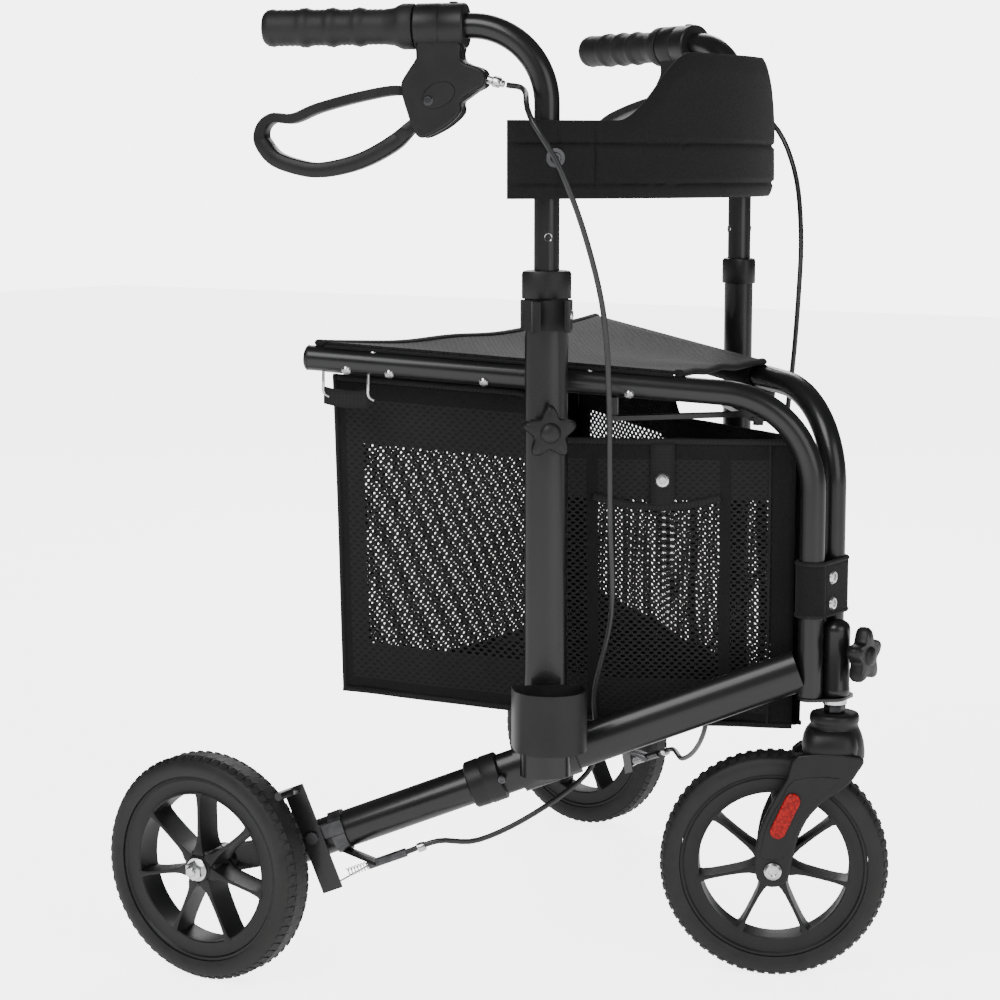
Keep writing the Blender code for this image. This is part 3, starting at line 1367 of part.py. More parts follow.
def make_front_strap(parent):
    """Wide strap round both front tubes, above the caster's socket."""
    inner = RAIL_RADIUS + 2 * GAP
    middle = place_at(1, 0, HINGE_AHEAD, STRAP_FOOT + STRAP_HEIGHT / 2)
    outlines = []
    for radius in (inner + STRAP_THICKNESS, inner):
        outline = []
        for sign in (1, -1):
            for step in range(7):
                angle = math.radians(-90 + 180 * step / 6)
                outline.append((
                    sign * (HINGE_OUT + radius * math.cos(angle)), sign * radius * math.sin(angle),
                ))
        outlines.append(outline)
    strap = plate("front_strap", outlines, STRAP_HEIGHT, Matrix.Translation(middle))
    return finish_piece(strap, "webbing", parent)


def band_centre_ahead():
    """Where the backrest's arc is centred, so that it passes just outside both handle tubes."""
    off = HANDLE_RADIUS + BAND_THICKNESS / 2 + 0.0012
    low, high = 0.0, UPRIGHT_AHEAD
    for _ in range(40):
        guess = (low + high) / 2
        reach = math.hypot(UPRIGHT_OUT, UPRIGHT_AHEAD - guess)
        if reach + off > BAND_RADIUS:
            low = guess
        else:
            high = guess
    return (low + high) / 2


def make_backrest(parent):
    """Padded band across the handle tubes, bulging forwards, taller in its middle."""
    centre = band_centre_ahead()
    tube_angle = math.atan2(UPRIGHT_OUT, UPRIGHT_AHEAD - centre)
    arc = 2 * tube_angle * BAND_RADIUS
    total = arc + 2 * BAND_TAIL

    def top(along):
        angle = abs(along) / BAND_RADIUS
        share = min(1.0, max(0.0, (math.radians(31) - angle) / math.radians(17)))
        return BAND_END_TOP + (BAND_HUMP_TOP - BAND_END_TOP) * share * share * (3 - 2 * share)

    def surface(u, v):
        along = (u - 0.5) * total
        inside = max(-arc / 2, min(arc / 2, along))
        angle = inside / BAND_RADIUS
        tail = along - inside
        out = BAND_RADIUS * math.sin(angle) + tail * math.cos(angle)
        ahead = centre + BAND_RADIUS * math.cos(angle) - abs(tail) * math.sin(abs(angle))
        height = BAND_FOOT + (top(along) - BAND_FOOT) * v
        return Vector((out, y_at(ahead), height))

    band = sheet("backrest", 24, 1, surface, BAND_THICKNESS)
    return finish_piece(band, "webbing", parent)


# ------------------------------------------------------------------ cane holder
def cane_axis(side, height):
    """Axis of a cane that the clip and the cup hold, outboard of the upright."""
    off = OVAL_SHORT / 2 + CAP_WALL + 0.0012 + CANE_RADIUS + 0.0010
    return upright_axis(side, height) + outward(side, UPRIGHT_SPLAY) * off


def make_cane_clip(side, parent):
    """Clamp round the upright with an open ring that a cane snaps into."""
    across = rearward(side, UPRIGHT_SPLAY)
    out = outward(side, UPRIGHT_SPLAY)
    foot, top = upright_axis(side, CLIP_FOOT), upright_axis(side, CLIP_FOOT + CLIP_HEIGHT)
    clamp = oval_rod(
        "cane_clip", foot, top, OVAL_LONG / 2 + CAP_WALL + 0.0012, OVAL_SHORT / 2 + CAP_WALL + 0.0012, across,
    )
    ring_foot, ring_top = cane_axis(side, CLIP_FOOT), cane_axis(side, CLIP_FOOT + CLIP_HEIGHT)
    ring = rod("clip_ring", ring_foot, ring_top, CANE_RADIUS + CLIP_WALL)
    room = rod("clip_room", ring_foot - UP * 0.01, ring_top + UP * 0.01, CANE_RADIUS)
    mouth = block(
        "clip_mouth", (0.030, 0.0200, CLIP_HEIGHT + 0.02),
        axes_matrix(cane_axis(side, CLIP_FOOT + CLIP_HEIGHT / 2) + out * 0.015, UP, out),
    )
    hole = oval_rod(
        "clip_hole", foot - UP * 0.01, top + UP * 0.01, OVAL_LONG / 2 + GAP, OVAL_SHORT / 2 + GAP, across,
    )
    fuse(clamp, ring)
    carve(clamp, room, mouth, hole)
    return finish_piece(clamp, "plastic", parent)


def make_cane_cup(side, parent):
    """Cup for the cane's foot, D-shaped in plan with its flat back against the upright."""
    across = rearward(side, UPRIGHT_SPLAY)
    out = outward(side, UPRIGHT_SPLAY)
    back = upright_axis(side, CUP_FOOT) + out * (OVAL_SHORT / 2 + FOOT_SOCKET_WALL + GAP + 0.0002)
    outlines = []
    for shrink in (0.0, CUP_WALL):
        radius = CUP_RADIUS - shrink
        outline = [(shrink, -radius), (0.018, -radius)]
        outline += [
            (0.018 + radius * math.cos(math.radians(angle)), radius * math.sin(math.radians(angle)))
            for angle in range(-75, 76, 15)
        ]
        outline += [(0.018, radius), (shrink, radius)]
        outlines.append(outline)
    middle = axes_matrix(back + UP * CUP_HEIGHT / 2, UP, out)
    cup = plate("cane_cup", [outlines[0]], CUP_HEIGHT, middle)
    lifted = axes_matrix(back + UP * (CUP_HEIGHT / 2 + CUP_WALL), UP, out)
    room = plate("cup_room", [outlines[1]], CUP_HEIGHT, lifted)
    carve(cup, room)
    return finish_piece(cup, "plastic", parent)


# ------------------------------------------------------------------ assembly
def build_side(suffix, side, head):
    """One side frame with its handle, lever, knob, wheel and brake."""
    frame = empty("frame_%s_pivot" % suffix, place_at(side, HINGE_OUT, HINGE_AHEAD, FRONT_TUBE_FOOT), head)
    make_top_rail(suffix, side, frame)
    make_rail_plug(suffix, side, frame)
    make_lower_tube(suffix, side, frame)
    make_collar(suffix, side, frame)
    make_rear_stay(suffix, side, frame)
    make_upright(suffix, side, frame)
    make_upright_cap(suffix, side, frame)
    make_upright_foot(suffix, side, frame)
    make_rear_axle("rear_axle_" + suffix, side, frame)
    make_brake_mount(suffix, side, frame)
    make_brake_cable(suffix, side, frame)
    knob = empty("height_knob_%s_pivot" % suffix, upright_axis(side, KNOB_HEIGHT), frame)
    make_height_knob(suffix, side, knob)
    handle = empty("handle_%s_slide" % suffix, upright_axis(side, CAP_TOP), frame)
    make_handle_tube(suffix, side, handle)
    make_grip(suffix, side, handle)
    make_brake_housing(suffix, side, handle)
    make_barrel_adjuster(suffix, side, handle)
    lever = empty("brake_lever_%s_pivot" % suffix, handle_point(side, LEVER_PIVOT_ALONG, LEVER_PIVOT_HEIGHT), handle)
    make_brake_lever(suffix, side, lever)
    wheel = empty("rear_wheel_%s_spin" % suffix, wheel_centre(side), frame)
    make_rim("rear_rim_" + suffix, wheel_centre(side), axle_direction(side), AXLE_RADIUS, wheel)
    make_tyre("rear_tyre_" + suffix, wheel_centre(side), axle_direction(side), wheel)
    arm = empty("brake_arm_%s_pivot" % suffix, brake_pivot(side, STAY_RADIUS), frame)
    make_brake_arm(suffix, side, arm)
    link = empty("brace_link_%s_pivot" % suffix, brace_eye(side), frame)
    make_brace_link(suffix, side, link)
    if side < 0:
        make_cane_clip(side, frame)
        make_cane_cup(side, frame)


def build():
    head = empty("head", (0, 0, 0))
    make_hinge_plate(head)
    make_caster_socket(head)
    make_front_strap(head)
    make_seat(head)
    make_bag(head)
    for suffix, side in SIDES:
        build_side(suffix, side, head)
    back = empty("backrest_slide", place_at(1, 0, UPRIGHT_AHEAD, BAND_FOOT), head)
    make_backrest(back)
    knob = empty("front_knob_pivot", place_at(1, 0, SOCKET_AHEAD, FRONT_KNOB_HEIGHT), head)
    make_front_knob(knob)
    swivel = empty("fork_swivel", place_at(1, 0, SOCKET_AHEAD, PLATE_FOOT), head)
    make_caster_stem(swivel)
    make_fork(swivel)
    make_fork_reflector("right", 1, swivel)
    make_fork_reflector("left", -1, swivel)
    make_front_axle(swivel)
    wheel = empty("front_wheel_spin", front_centre(), swivel)
    make_rim("front_rim", front_centre(), fork_across(), 0.0045, wheel)
    make_tyre("front_tyre", front_centre(), fork_across(), wheel)


build()
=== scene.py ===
"""Looks of the three-wheel rollator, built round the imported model. Metres; right is the user's right, -X."""

import math

import bmesh
import bpy
from mathutils import Matrix, Vector


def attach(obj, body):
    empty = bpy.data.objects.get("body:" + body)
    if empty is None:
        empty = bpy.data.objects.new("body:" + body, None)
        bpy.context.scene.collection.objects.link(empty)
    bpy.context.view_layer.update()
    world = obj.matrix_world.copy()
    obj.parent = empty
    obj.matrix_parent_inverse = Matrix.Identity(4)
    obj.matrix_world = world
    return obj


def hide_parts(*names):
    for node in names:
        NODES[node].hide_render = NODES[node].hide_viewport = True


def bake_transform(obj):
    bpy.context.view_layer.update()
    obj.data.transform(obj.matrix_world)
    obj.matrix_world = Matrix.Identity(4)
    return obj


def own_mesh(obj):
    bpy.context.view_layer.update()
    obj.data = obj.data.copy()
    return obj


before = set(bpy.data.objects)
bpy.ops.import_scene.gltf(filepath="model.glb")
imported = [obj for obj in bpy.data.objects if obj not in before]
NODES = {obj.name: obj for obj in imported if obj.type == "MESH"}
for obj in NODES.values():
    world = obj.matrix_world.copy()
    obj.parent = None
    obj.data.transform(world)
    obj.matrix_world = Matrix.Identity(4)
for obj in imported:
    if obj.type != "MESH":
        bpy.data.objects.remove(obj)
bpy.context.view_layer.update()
UP = Vector((0, 0, 1))
SIDES = (("right", -1.0), ("left", 1.0))

# ------------------------------------------------------------------ the part's own sizes
WHEEL_R, RIM_R = 0.100, 0.0825
HINGE_OUT, HINGE_AHEAD = 0.0197, 0.4392
RAIL_R, RAIL_SPLAY, RAIL_SLOPE, RAIL_CORNER, RAIL_END = 0.011, 28.9, 4.4, 0.512, 0.0547
LOWER_SPLAY, LOWER_SLOPE, LOWER_HEAD = 31.1, 20.4, 0.2795
UP_OUT, UP_AHEAD, UP_SPLAY = 0.1683, 0.2610, 40.0
HANDLE_R, HANDLE_SPLAY, GRIP_H = 0.01075, 21.7, 0.8275
SOCKET_AHEAD, SOCKET_R, SOCKET_TOP, CROWN_TOP = 0.4537, 0.0125, 0.3157, 0.2375
TRAIL, SWIVEL = 0.051, math.radians(26.4)
COLLAR_AT, STAY_END, STAY_R = 0.2827, 0.4640, 0.0165
TOE = math.radians(4.0)
FRONT_REACH = SOCKET_AHEAD - TRAIL * math.cos(SWIVEL) + WHEEL_R * math.cos(SWIVEL) + 0.010 * math.sin(SWIVEL)
REAR_REACH = WHEEL_R * math.cos(TOE) + 0.010 * math.sin(TOE)
REAR_Y = (FRONT_REACH - REAR_REACH) / 2


def at(side, out, ahead, height):
    return Vector((side * out, REAR_Y - ahead, height))


def rearward(side, splay):
    angle = math.radians(splay)
    return Vector((side * math.sin(angle), math.cos(angle), 0))


def outward(side, splay):
    angle = math.radians(splay)
    return Vector((side * math.cos(angle), -math.sin(angle), 0))


def lower(side, distance, rise=0.0, off=0.0):
    slope = math.radians(LOWER_SLOPE)
    back = rearward(side, LOWER_SPLAY)
    square = back * math.sin(slope) + UP * math.cos(slope)
    point = at(side, HINGE_OUT, HINGE_AHEAD, LOWER_HEAD) + back * distance - UP * distance * math.tan(slope)
    return point + square * rise + outward(side, LOWER_SPLAY) * off


def lower_dir(side):
    slope = math.radians(LOWER_SLOPE)
    return rearward(side, LOWER_SPLAY) * math.cos(slope) - UP * math.sin(slope)


def lower_sq(side):
    slope = math.radians(LOWER_SLOPE)
    return rearward(side, LOWER_SPLAY) * math.sin(slope) + UP * math.cos(slope)


def rail_out(ahead):
    return HINGE_OUT + (HINGE_AHEAD - ahead) * math.tan(math.radians(RAIL_SPLAY))


def rail_h(ahead):
    run = (HINGE_AHEAD - ahead) / math.cos(math.radians(RAIL_SPLAY))
    return RAIL_CORNER + run * math.tan(math.radians(RAIL_SLOPE))


def rail(side, ahead):
    return at(side, rail_out(ahead), ahead, rail_h(ahead))


def grip_at(side, along, height):
    return at(side, UP_OUT, UP_AHEAD, height) + rearward(side, HANDLE_SPLAY) * along


def upright(side, height):
    return at(side, UP_OUT, UP_AHEAD, height)


# ------------------------------------------------------------------ camera, floor and light
FLOOR_GLOW_SEEN, FLOOR_GLOW_REST, FLOOR_GAP = 3.4, 0.5, 0.0006
scene = bpy.context.scene
camera = bpy.data.objects.new("camera", bpy.data.cameras.new("camera"))
scene.collection.objects.link(camera)
camera.location = (-1.8879, -1.1809, 0.7111)
HEADING, TILT = 0.59672, 0.13666
look = Vector((math.cos(HEADING) * math.cos(TILT), math.sin(HEADING) * math.cos(TILT), -math.sin(TILT)))
camera.rotation_euler = look.to_track_quat("-Z", "Y").to_euler()
camera.data.sensor_width = 36
camera.data.lens = 87.4
scene.camera = camera


class Nodes:
    """Short way to write a material's node tree."""

    def __init__(self, name):
        self.material = bpy.data.materials.new("look_" + name)
        self.material["kind"] = name
        self.material.use_nodes = True
        self.tree = self.material.node_tree
        self.shader = self.tree.nodes["Principled BSDF"]
        self.out = self.tree.nodes["Material Output"]

    def add(self, kind, inputs=None, **settings):
        node = self.tree.nodes.new(kind)
        for key, value in settings.items():
            setattr(node, key, value)
        for key, value in (inputs or {}).items():
            self.put(value, node.inputs[key])
        return node

    def put(self, value, socket):
        if isinstance(value, bpy.types.NodeSocket):
            self.tree.links.new(value, socket)
        else:
            socket.default_value = value

    def math(self, operation, a, b=0.0):
        node = self.add("ShaderNodeMath", operation=operation)
        self.put(a, node.inputs[0])
        self.put(b, node.inputs[1])
        return node.outputs[0]

    def noise(self, scale, detail=3.0, vector=None):
        node = self.add("ShaderNodeTexNoise", {"Scale": scale, "Detail": detail})
        self.put(vector or self.coords(), node.inputs["Vector"])
        return node.outputs["Fac"]

    def coords(self):
        return self.add("ShaderNodeTexCoord").outputs["Object"]

    def spread(self, value, low, high):
        node = self.add("ShaderNodeMapRange", {"From Min": 0.3, "From Max": 0.7, "To Min": low, "To Max": high})
        self.put(value, node.inputs["Value"])
        return node.outputs["Result"]

    def blend(self, fac, a, b):
        node = self.add("ShaderNodeMix", data_type="RGBA")
        self.put(fac, node.inputs[0])
        self.put((*a, 1) if isinstance(a, tuple) else a, node.inputs[6])
        self.put((*b, 1) if isinstance(b, tuple) else b, node.inputs[7])
        return node.outputs[2]

    def bump(self, height, strength, distance):
        node = self.add("ShaderNodeBump", {"Strength": strength, "Distance": distance})
        self.put(height, node.inputs["Height"])
        self.put(node.outputs["Normal"], self.shader.inputs["Normal"])

    def set(self, **values):
        for key, value in values.items():
            name = {"color": "Base Color", "rough": "Roughness", "metal": "Metallic", "coat": "Coat Weight",
                    "sheen": "Sheen Weight", "spec": "Specular IOR Level", "alpha": "Alpha"}[key]
            self.put((*value, 1) if isinstance(value, tuple) else value, self.shader.inputs[name])
        return self


def surface(name, dark, light, rough, metal=0.0, patch=30.0, grain=900.0, bump=0.15, depth=0.0002, **extra):
    """Hard material: soft patches of tone, a fine grain in roughness and bump."""
    n = Nodes(name)
    patches = n.noise(patch, 4.0)
    fine = n.noise(grain, 2.0)
    n.set(color=n.blend(n.spread(patches, 0.0, 1.0), dark, light), metal=metal)
    n.set(rough=n.spread(n.math("ADD", n.math("MULTIPLY", patches, 0.5), n.math("MULTIPLY", fine, 0.5)),
            rough[0], rough[1]))
    n.set(**extra)
    n.bump(fine, bump, depth)
    return n.material


PAINT = surface("frame_paint", (0.0045, 0.0045, 0.0047), (0.0075, 0.0075, 0.0078), (0.26, 0.36), 0.0, 14,
        1400, 0.10, 0.0001, coat=0.12, spec=0.42)
PLASTIC = surface("black_plastic", (0.0050, 0.0050, 0.0053), (0.0085, 0.0085, 0.0088), (0.38, 0.50), 0.0,
        40, 1800, 0.25, 0.0002, spec=0.34)
RUBBER = surface("tyre_rubber", (0.0070, 0.0070, 0.0070), (0.0130, 0.0128, 0.0125), (0.50, 0.66), 0.0, 60,
        1200, 0.3, 0.0003, spec=0.38)
GRIP = surface("grip_rubber", (0.0060, 0.0060, 0.0063), (0.0105, 0.0105, 0.0110), (0.46, 0.60), 0.0, 50,
        2200, 0.35, 0.0003, spec=0.36)
STEEL = surface("bright_steel", (0.55, 0.55, 0.56), (0.76, 0.76, 0.77), (0.16, 0.32), 1.0, 120, 1500, 0.08,
        0.0001)
DARK_STEEL = surface("dark_steel", (0.05, 0.05, 0.052), (0.10, 0.10, 0.105), (0.28, 0.42), 0.9, 100, 1500,
        0.1, 0.0001)
SHEATH = surface("cable_sheath", (0.010, 0.010, 0.011), (0.016, 0.016, 0.017), (0.28, 0.40), 0.0, 30, 700,
        0.1, 0.0001)


def reflector_material():
    n = Nodes("red_reflector")
    cells = n.add("ShaderNodeTexVoronoi", {"Scale": 420.0})
    n.put(n.coords(), cells.inputs["Vector"])
    tone = n.math("MULTIPLY", cells.outputs["Distance"], 1.4)
    n.set(color=n.blend(tone, (0.42, 0.003, 0.002), (0.16, 0.001, 0.001)), rough=0.22, spec=0.25)
    n.bump(cells.outputs["Distance"], 0.4, 0.0006)
    return n.material


REFLECTOR = reflector_material()


def fract(n, value):
    return n.math("FRACT", value)


def cloth_material(name, tone=(0.0028, 0.0028, 0.0030), light=(0.0065, 0.0065, 0.0068), pitch=0.0011,
        rough=0.82):
    """Plain woven cloth on the piece's UVs, which are in metres."""
    n = Nodes(name)
    uv = n.add("ShaderNodeSeparateXYZ", {"Vector": n.add("ShaderNodeUVMap").outputs["UV"]})
    wave_u = n.math("SINE", n.math("MULTIPLY", uv.outputs["X"], 2 * math.pi / pitch))
    wave_v = n.math("SINE", n.math("MULTIPLY", uv.outputs["Y"], 2 * math.pi / pitch))
    weave = n.math("MULTIPLY", wave_u, wave_v)
    height = n.math("ADD", n.math("MULTIPLY", weave, 0.5), 0.5)
    patches = n.noise(26.0, 4.0)
    fuzz = n.noise(700.0, 3.0)
    mix = n.math("ADD", n.math("MULTIPLY", height, 0.4), n.math("MULTIPLY", patches, 0.6))
    n.set(color=n.blend(mix, tone, light), rough=n.spread(fuzz, rough - 0.1, rough + 0.1), sheen=0.03,
            spec=0.22)
    n.bump(n.math("ADD", n.math("MULTIPLY", height, 0.7), n.math("MULTIPLY", fuzz, 0.3)), 0.6, 0.0004)
    return n.material


def mesh_material(name, see_through):
    """Knitted air mesh on UVs in metres: staggered oval holes, either open (keeping a little near-black) or painted
    near-black all over as painted shade inside the holes.
    """
    n = Nodes(name)
    uv = n.add("ShaderNodeSeparateXYZ", {"Vector": n.add("ShaderNodeUVMap").outputs["UV"]})
    row_pitch, pitch = 0.0032, 0.0070
    v = n.math("DIVIDE", uv.outputs["Y"], row_pitch)
    odd = n.math("FRACT", n.math("MULTIPLY", n.math("FLOOR", v), 0.5))
    u = n.math("ADD", n.math("DIVIDE", uv.outputs["X"], pitch), odd)
    x = n.math("DIVIDE", n.math("MULTIPLY", n.math("SUBTRACT", fract(n, u), 0.5), pitch), 0.00190)
    y = n.math("DIVIDE", n.math("MULTIPLY", n.math("SUBTRACT", fract(n, v), 0.5), row_pitch), 0.00125)
    spot = n.math("ADD", n.math("MULTIPLY", x, x), n.math("MULTIPLY", y, y))
    edge = n.add("ShaderNodeMapRange", {"From Min": 0.75, "From Max": 1.25})
    n.put(spot, edge.inputs["Value"])
    solid = edge.outputs["Result"]
    fuzz = n.noise(900.0, 3.0)
    tone = n.blend(n.noise(30.0, 3.0), (0.0040, 0.0040, 0.0042), (0.0085, 0.0085, 0.0088))
    # the near-black (0.002) in the holes is painted shade standing in for the dark inside them, not a separate layer
    n.set(color=n.blend(solid, (0.002, 0.002, 0.002), tone), rough=n.spread(fuzz, 0.62, 0.82), sheen=0.03,
            spec=0.26)
    if see_through:
        clear = n.add("ShaderNodeBsdfTransparent")
        mix = n.add("ShaderNodeMixShader")
        n.put(n.math("MAXIMUM", solid, 0.12), mix.inputs[0])
        n.put(clear.outputs[0], mix.inputs[1])
        n.put(n.shader.outputs[0], mix.inputs[2])
        n.put(mix.outputs[0], n.out.inputs["Surface"])
    n.bump(n.math("ADD", n.math("MULTIPLY", solid, 0.8), n.math("MULTIPLY", fuzz, 0.2)), 0.8, 0.0006)
    return n.material


def webbing_material(name):
    """Ribbed webbing on UVs in metres, ribs across the strap."""
    n = Nodes(name)
    uv = n.add("ShaderNodeSeparateXYZ", {"Vector": n.add("ShaderNodeUVMap").outputs["UV"]})
    ribs = n.math("ADD", n.math("MULTIPLY", n.math("SINE",
            n.math("MULTIPLY", uv.outputs["X"], 2 * math.pi / 0.0016)), 0.5), 0.5)
    rows = n.math("ADD", n.math("MULTIPLY", n.math("SINE",
            n.math("MULTIPLY", uv.outputs["Y"], 2 * math.pi / 0.0030)), 0.5), 0.5)
    height = n.math("ADD", n.math("MULTIPLY", ribs, 0.7), n.math("MULTIPLY", rows, 0.3))
    n.set(color=n.blend(height, (0.0040, 0.0040, 0.0042), (0.0110, 0.0110, 0.0115)), rough=0.74, sheen=0.03,
            spec=0.25)
    n.bump(height, 0.6, 0.0004)
    return n.material


MESH_OPEN = mesh_material("mesh_fabric", True)
# seat mesh whose holes are filled with painted shade instead of being open
MESH_HOLE_SHADE = mesh_material("seat_mesh", False)
CLOTH = cloth_material("nylon_cloth")
BAND = cloth_material("backrest_cloth", (0.0028, 0.0028, 0.0030), (0.0062, 0.0062, 0.0065), 0.0014, 0.80)
WEBBING = webbing_material("nylon_webbing")
FLOOR = surface("pale_floor", (0.86, 0.86, 0.86), (0.88, 0.88, 0.88), (0.55, 0.65), 0.0, 3, 200, 0.02, 0.0001)

floor_mesh = bpy.data.meshes.new("floor")
floor_mesh.from_pydata([(-9, -9, 0), (9, -9, 0), (9, 9, 0), (-9, 9, 0)], [], [(0, 1, 2, 3)])
floor = bpy.data.objects.new("floor", floor_mesh)
glow = FLOOR.node_tree
glow_path = glow.nodes.new("ShaderNodeLightPath")
glow_level = glow.nodes.new("ShaderNodeMath")
glow_level.operation = "MULTIPLY_ADD"
glow_level.inputs[1].default_value = FLOOR_GLOW_SEEN
glow_level.inputs[2].default_value = FLOOR_GLOW_REST
glow.links.new(glow_path.outputs["Is Camera Ray"], glow_level.inputs[0])
glow.links.new(glow_level.outputs[0], glow.nodes["Principled BSDF"].inputs["Emission Strength"])
glow.nodes["Principled BSDF"].inputs["Emission Color"].default_value = (1, 1, 1, 1)
floor.data.materials.append(FLOOR)
floor.location.z = -FLOOR_GAP
scene.collection.objects.link(floor)

world = bpy.data.worlds.new("studio")
scene.world = world
world.use_nodes = True
tree = world.node_tree
path = tree.nodes.new("ShaderNodeLightPath")
levels = []
for kind, level in (("Is Camera Ray", 5.5), ("Is Glossy Ray", 0.10), ("Is Diffuse Ray", 1.0)):
    node = tree.nodes.new("ShaderNodeMath")
    node.operation = "MULTIPLY"
    node.inputs[1].default_value = level
    tree.links.new(path.outputs[kind], node.inputs[0])
    levels.append(node.outputs[0])
total = levels[0]
for level in levels[1:]:
    node = tree.nodes.new("ShaderNodeMath")
    node.operation = "ADD"
    tree.links.new(total, node.inputs[0])
    tree.links.new(level, node.inputs[1])
    total = node.outputs[0]
tree.nodes["Background"].inputs["Color"].default_value = (1.0, 1.0, 1.0, 1)
tree.links.new(total, tree.nodes["Background"].inputs["Strength"])


def area_light(name, place, target, size, power):
    light = bpy.data.lights.new(name, "AREA")
    light.size = size
    light.energy = power
    obj = bpy.data.objects.new(name, light)
    obj.location = place
    obj.rotation_euler = (Vector(target) - Vector(place)).to_track_quat("-Z", "Y").to_euler()
    scene.collection.objects.link(obj)


area_light("key", (-2.6, -0.2, 2.6), (0, 0, 0.45), 1.8, 70)
area_light("fill", (-1.0, -3.0, 1.4), (0, 0, 0.4), 2.0, 32)
area_light("rim", (2.4, 1.6, 2.2), (0, 0, 0.5), 1.6, 45)


# ------------------------------------------------------------------ makers
def matrix_of(origin, along, across=None):
    z = Vector(along).normalized()
    guess = Vector(across) if across is not None else UP
    if across is None and abs(z.z) > 0.99:
        guess = Vector((1, 0, 0))
    y = z.cross(guess).normalized()
    x = y.cross(z)
    m = Matrix((x, y, z)).transposed().to_4x4()
    m.translation = origin
    return m


def piece(name, bm, material, body, replaces=(), sharp=35, more=()):
    bmesh.ops.recalc_face_normals(bm, faces=bm.faces)
    mesh = bpy.data.meshes.new(name)
    bm.to_mesh(mesh)
    bm.free()
    mesh.shade_smooth()
    mesh.set_sharp_from_angle(angle=math.radians(sharp))
    obj = bpy.data.objects.new(name, mesh)
    scene.collection.objects.link(obj)
    for item in (material, *more):
        mesh.materials.append(item)
    if body:
        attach(obj, body)
    if replaces:
        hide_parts(*([replaces] if isinstance(replaces, str) else replaces))
    return obj


def bake(obj):
    """Apply an object's modifiers to its mesh."""
    bpy.context.view_layer.update()
    graph = bpy.context.evaluated_depsgraph_get()
    mesh = bpy.data.meshes.new_from_object(obj.evaluated_get(graph))
    obj.modifiers.clear()
    obj.data = mesh


def bevel(obj, width, segments=3, angle=30):
    modifier = obj.modifiers.new("edges", "BEVEL")
    modifier.width = width
    modifier.segments = segments
    modifier.limit_method = "ANGLE"
    modifier.angle_limit = math.radians(angle)
    modifier.harden_normals = False
    return obj


def add_tube(bm, points, radius, sides=24, half=None, across=None, close=True):
    """Rings swept along points into bm; radius may be a list, one for each point."""
    points = [Vector(p) for p in points]
    count = len(points)
    radii = radius if isinstance(radius, (list, tuple)) else [radius] * count
    tangents = []
    for i in range(count):
        a = points[max(0, i - 1)]
        b = points[min(count - 1, i + 1)]
        tangents.append((b - a).normalized())
    normal = Vector(across) if across is not None else tangents[0].orthogonal()
    rings = []
    for point, tangent, r in zip(points, tangents, radii):
        normal = (normal - tangent * normal.dot(tangent)).normalized()
        side = tangent.cross(normal)
        ratio = 1.0 if half is None else half
        rings.append([
            bm.verts.new(point + normal * r * math.cos(2 * math.pi * k / sides) + side * r * ratio * math.sin(2 * math.pi * k / sides))
            for k in range(sides)
        ])
    for a, b in zip(rings, rings[1:]):
        for k in range(sides):
            bm.faces.new((a[k], a[(k + 1) % sides], b[(k + 1) % sides], b[k]))
    if close:
        bm.faces.new(rings[0])
        bm.faces.new(list(reversed(rings[-1])))


def add_lathe(bm, profile, matrix, sides=32, shape=None):
    """Turned shape into bm; shape(angle) scales the radius, for lobes."""
    rings = []
    for radius, height in profile:
        if radius < 1e-6:
            rings.append([bm.verts.new(matrix @ Vector((0, 0, height)))])
            continue
        ring = []
        for k in range(sides):
            angle = 2 * math.pi * k / sides
            r = radius * (shape(angle) if shape else 1.0)
            ring.append(bm.verts.new(matrix @ Vector((r * math.cos(angle), r * math.sin(angle), height))))
        rings.append(ring)
    for a, b in zip(rings, rings[1:]):
        for k in range(sides):
            m = (k + 1) % sides
            if len(a) == 1:
                bm.faces.new((a[0], b[m], b[k]))
            elif len(b) == 1:
                bm.faces.new((a[k], a[m], b[0]))
            else:
                bm.faces.new((a[k], a[m], b[m], b[k]))


def add_prism(bm, outline, thickness, matrix):
    """Flat outline in local XY, thickened about local Z."""
    low = [bm.verts.new(matrix @ Vector((x, y, -thickness / 2))) for x, y in outline]
    high = [bm.verts.new(matrix @ Vector((x, y, thickness / 2))) for x, y in outline]
    bm.faces.new(list(reversed(low)))
    bm.faces.new(high)
    for k in range(len(outline)):
        m = (k + 1) % len(outline)
        bm.faces.new((low[k], low[m], high[m], high[k]))


def arc_path(corners, radius, steps=16):
    corners = [Vector(c) for c in corners]
    points = [corners[0]]
    for before, corner, after in zip(corners, corners[1:], corners[2:]):
        back, on = (before - corner).normalized(), (after - corner).normalized()
        half = back.angle(on) / 2
        centre = corner + (back + on).normalized() * (radius / math.sin(half))
        first = corner + back * radius / math.tan(half) - centre
        last = corner + on * radius / math.tan(half) - centre
        turn = first.angle(last)
        for k in range(steps + 1):
            s = k / steps
            points.append(centre + first * math.sin((1 - s) * turn) / math.sin(turn) + last * math.sin(s * turn) / math.sin(turn))
    points.append(corners[-1])
    return points


def smooth_route(knots, steps=8):
    knots = [Vector(k) for k in knots]
    padded = [knots[0] * 2 - knots[1], *knots, knots[-1] * 2 - knots[-2]]
    points = []
    for p0, p1, p2, p3 in zip(padded, padded[1:], padded[2:], padded[3:]):
        for k in range(steps):
            t = k / steps
            points.append(0.5 * (p1 * 2 + (p2 - p0) * t + (p0 * 2 - p1 * 5 + p2 * 4 - p3) * t ** 2 + (p1 * 3 - p0 - p2 * 3 + p3) * t ** 3))
    points.append(knots[-1])
    return points


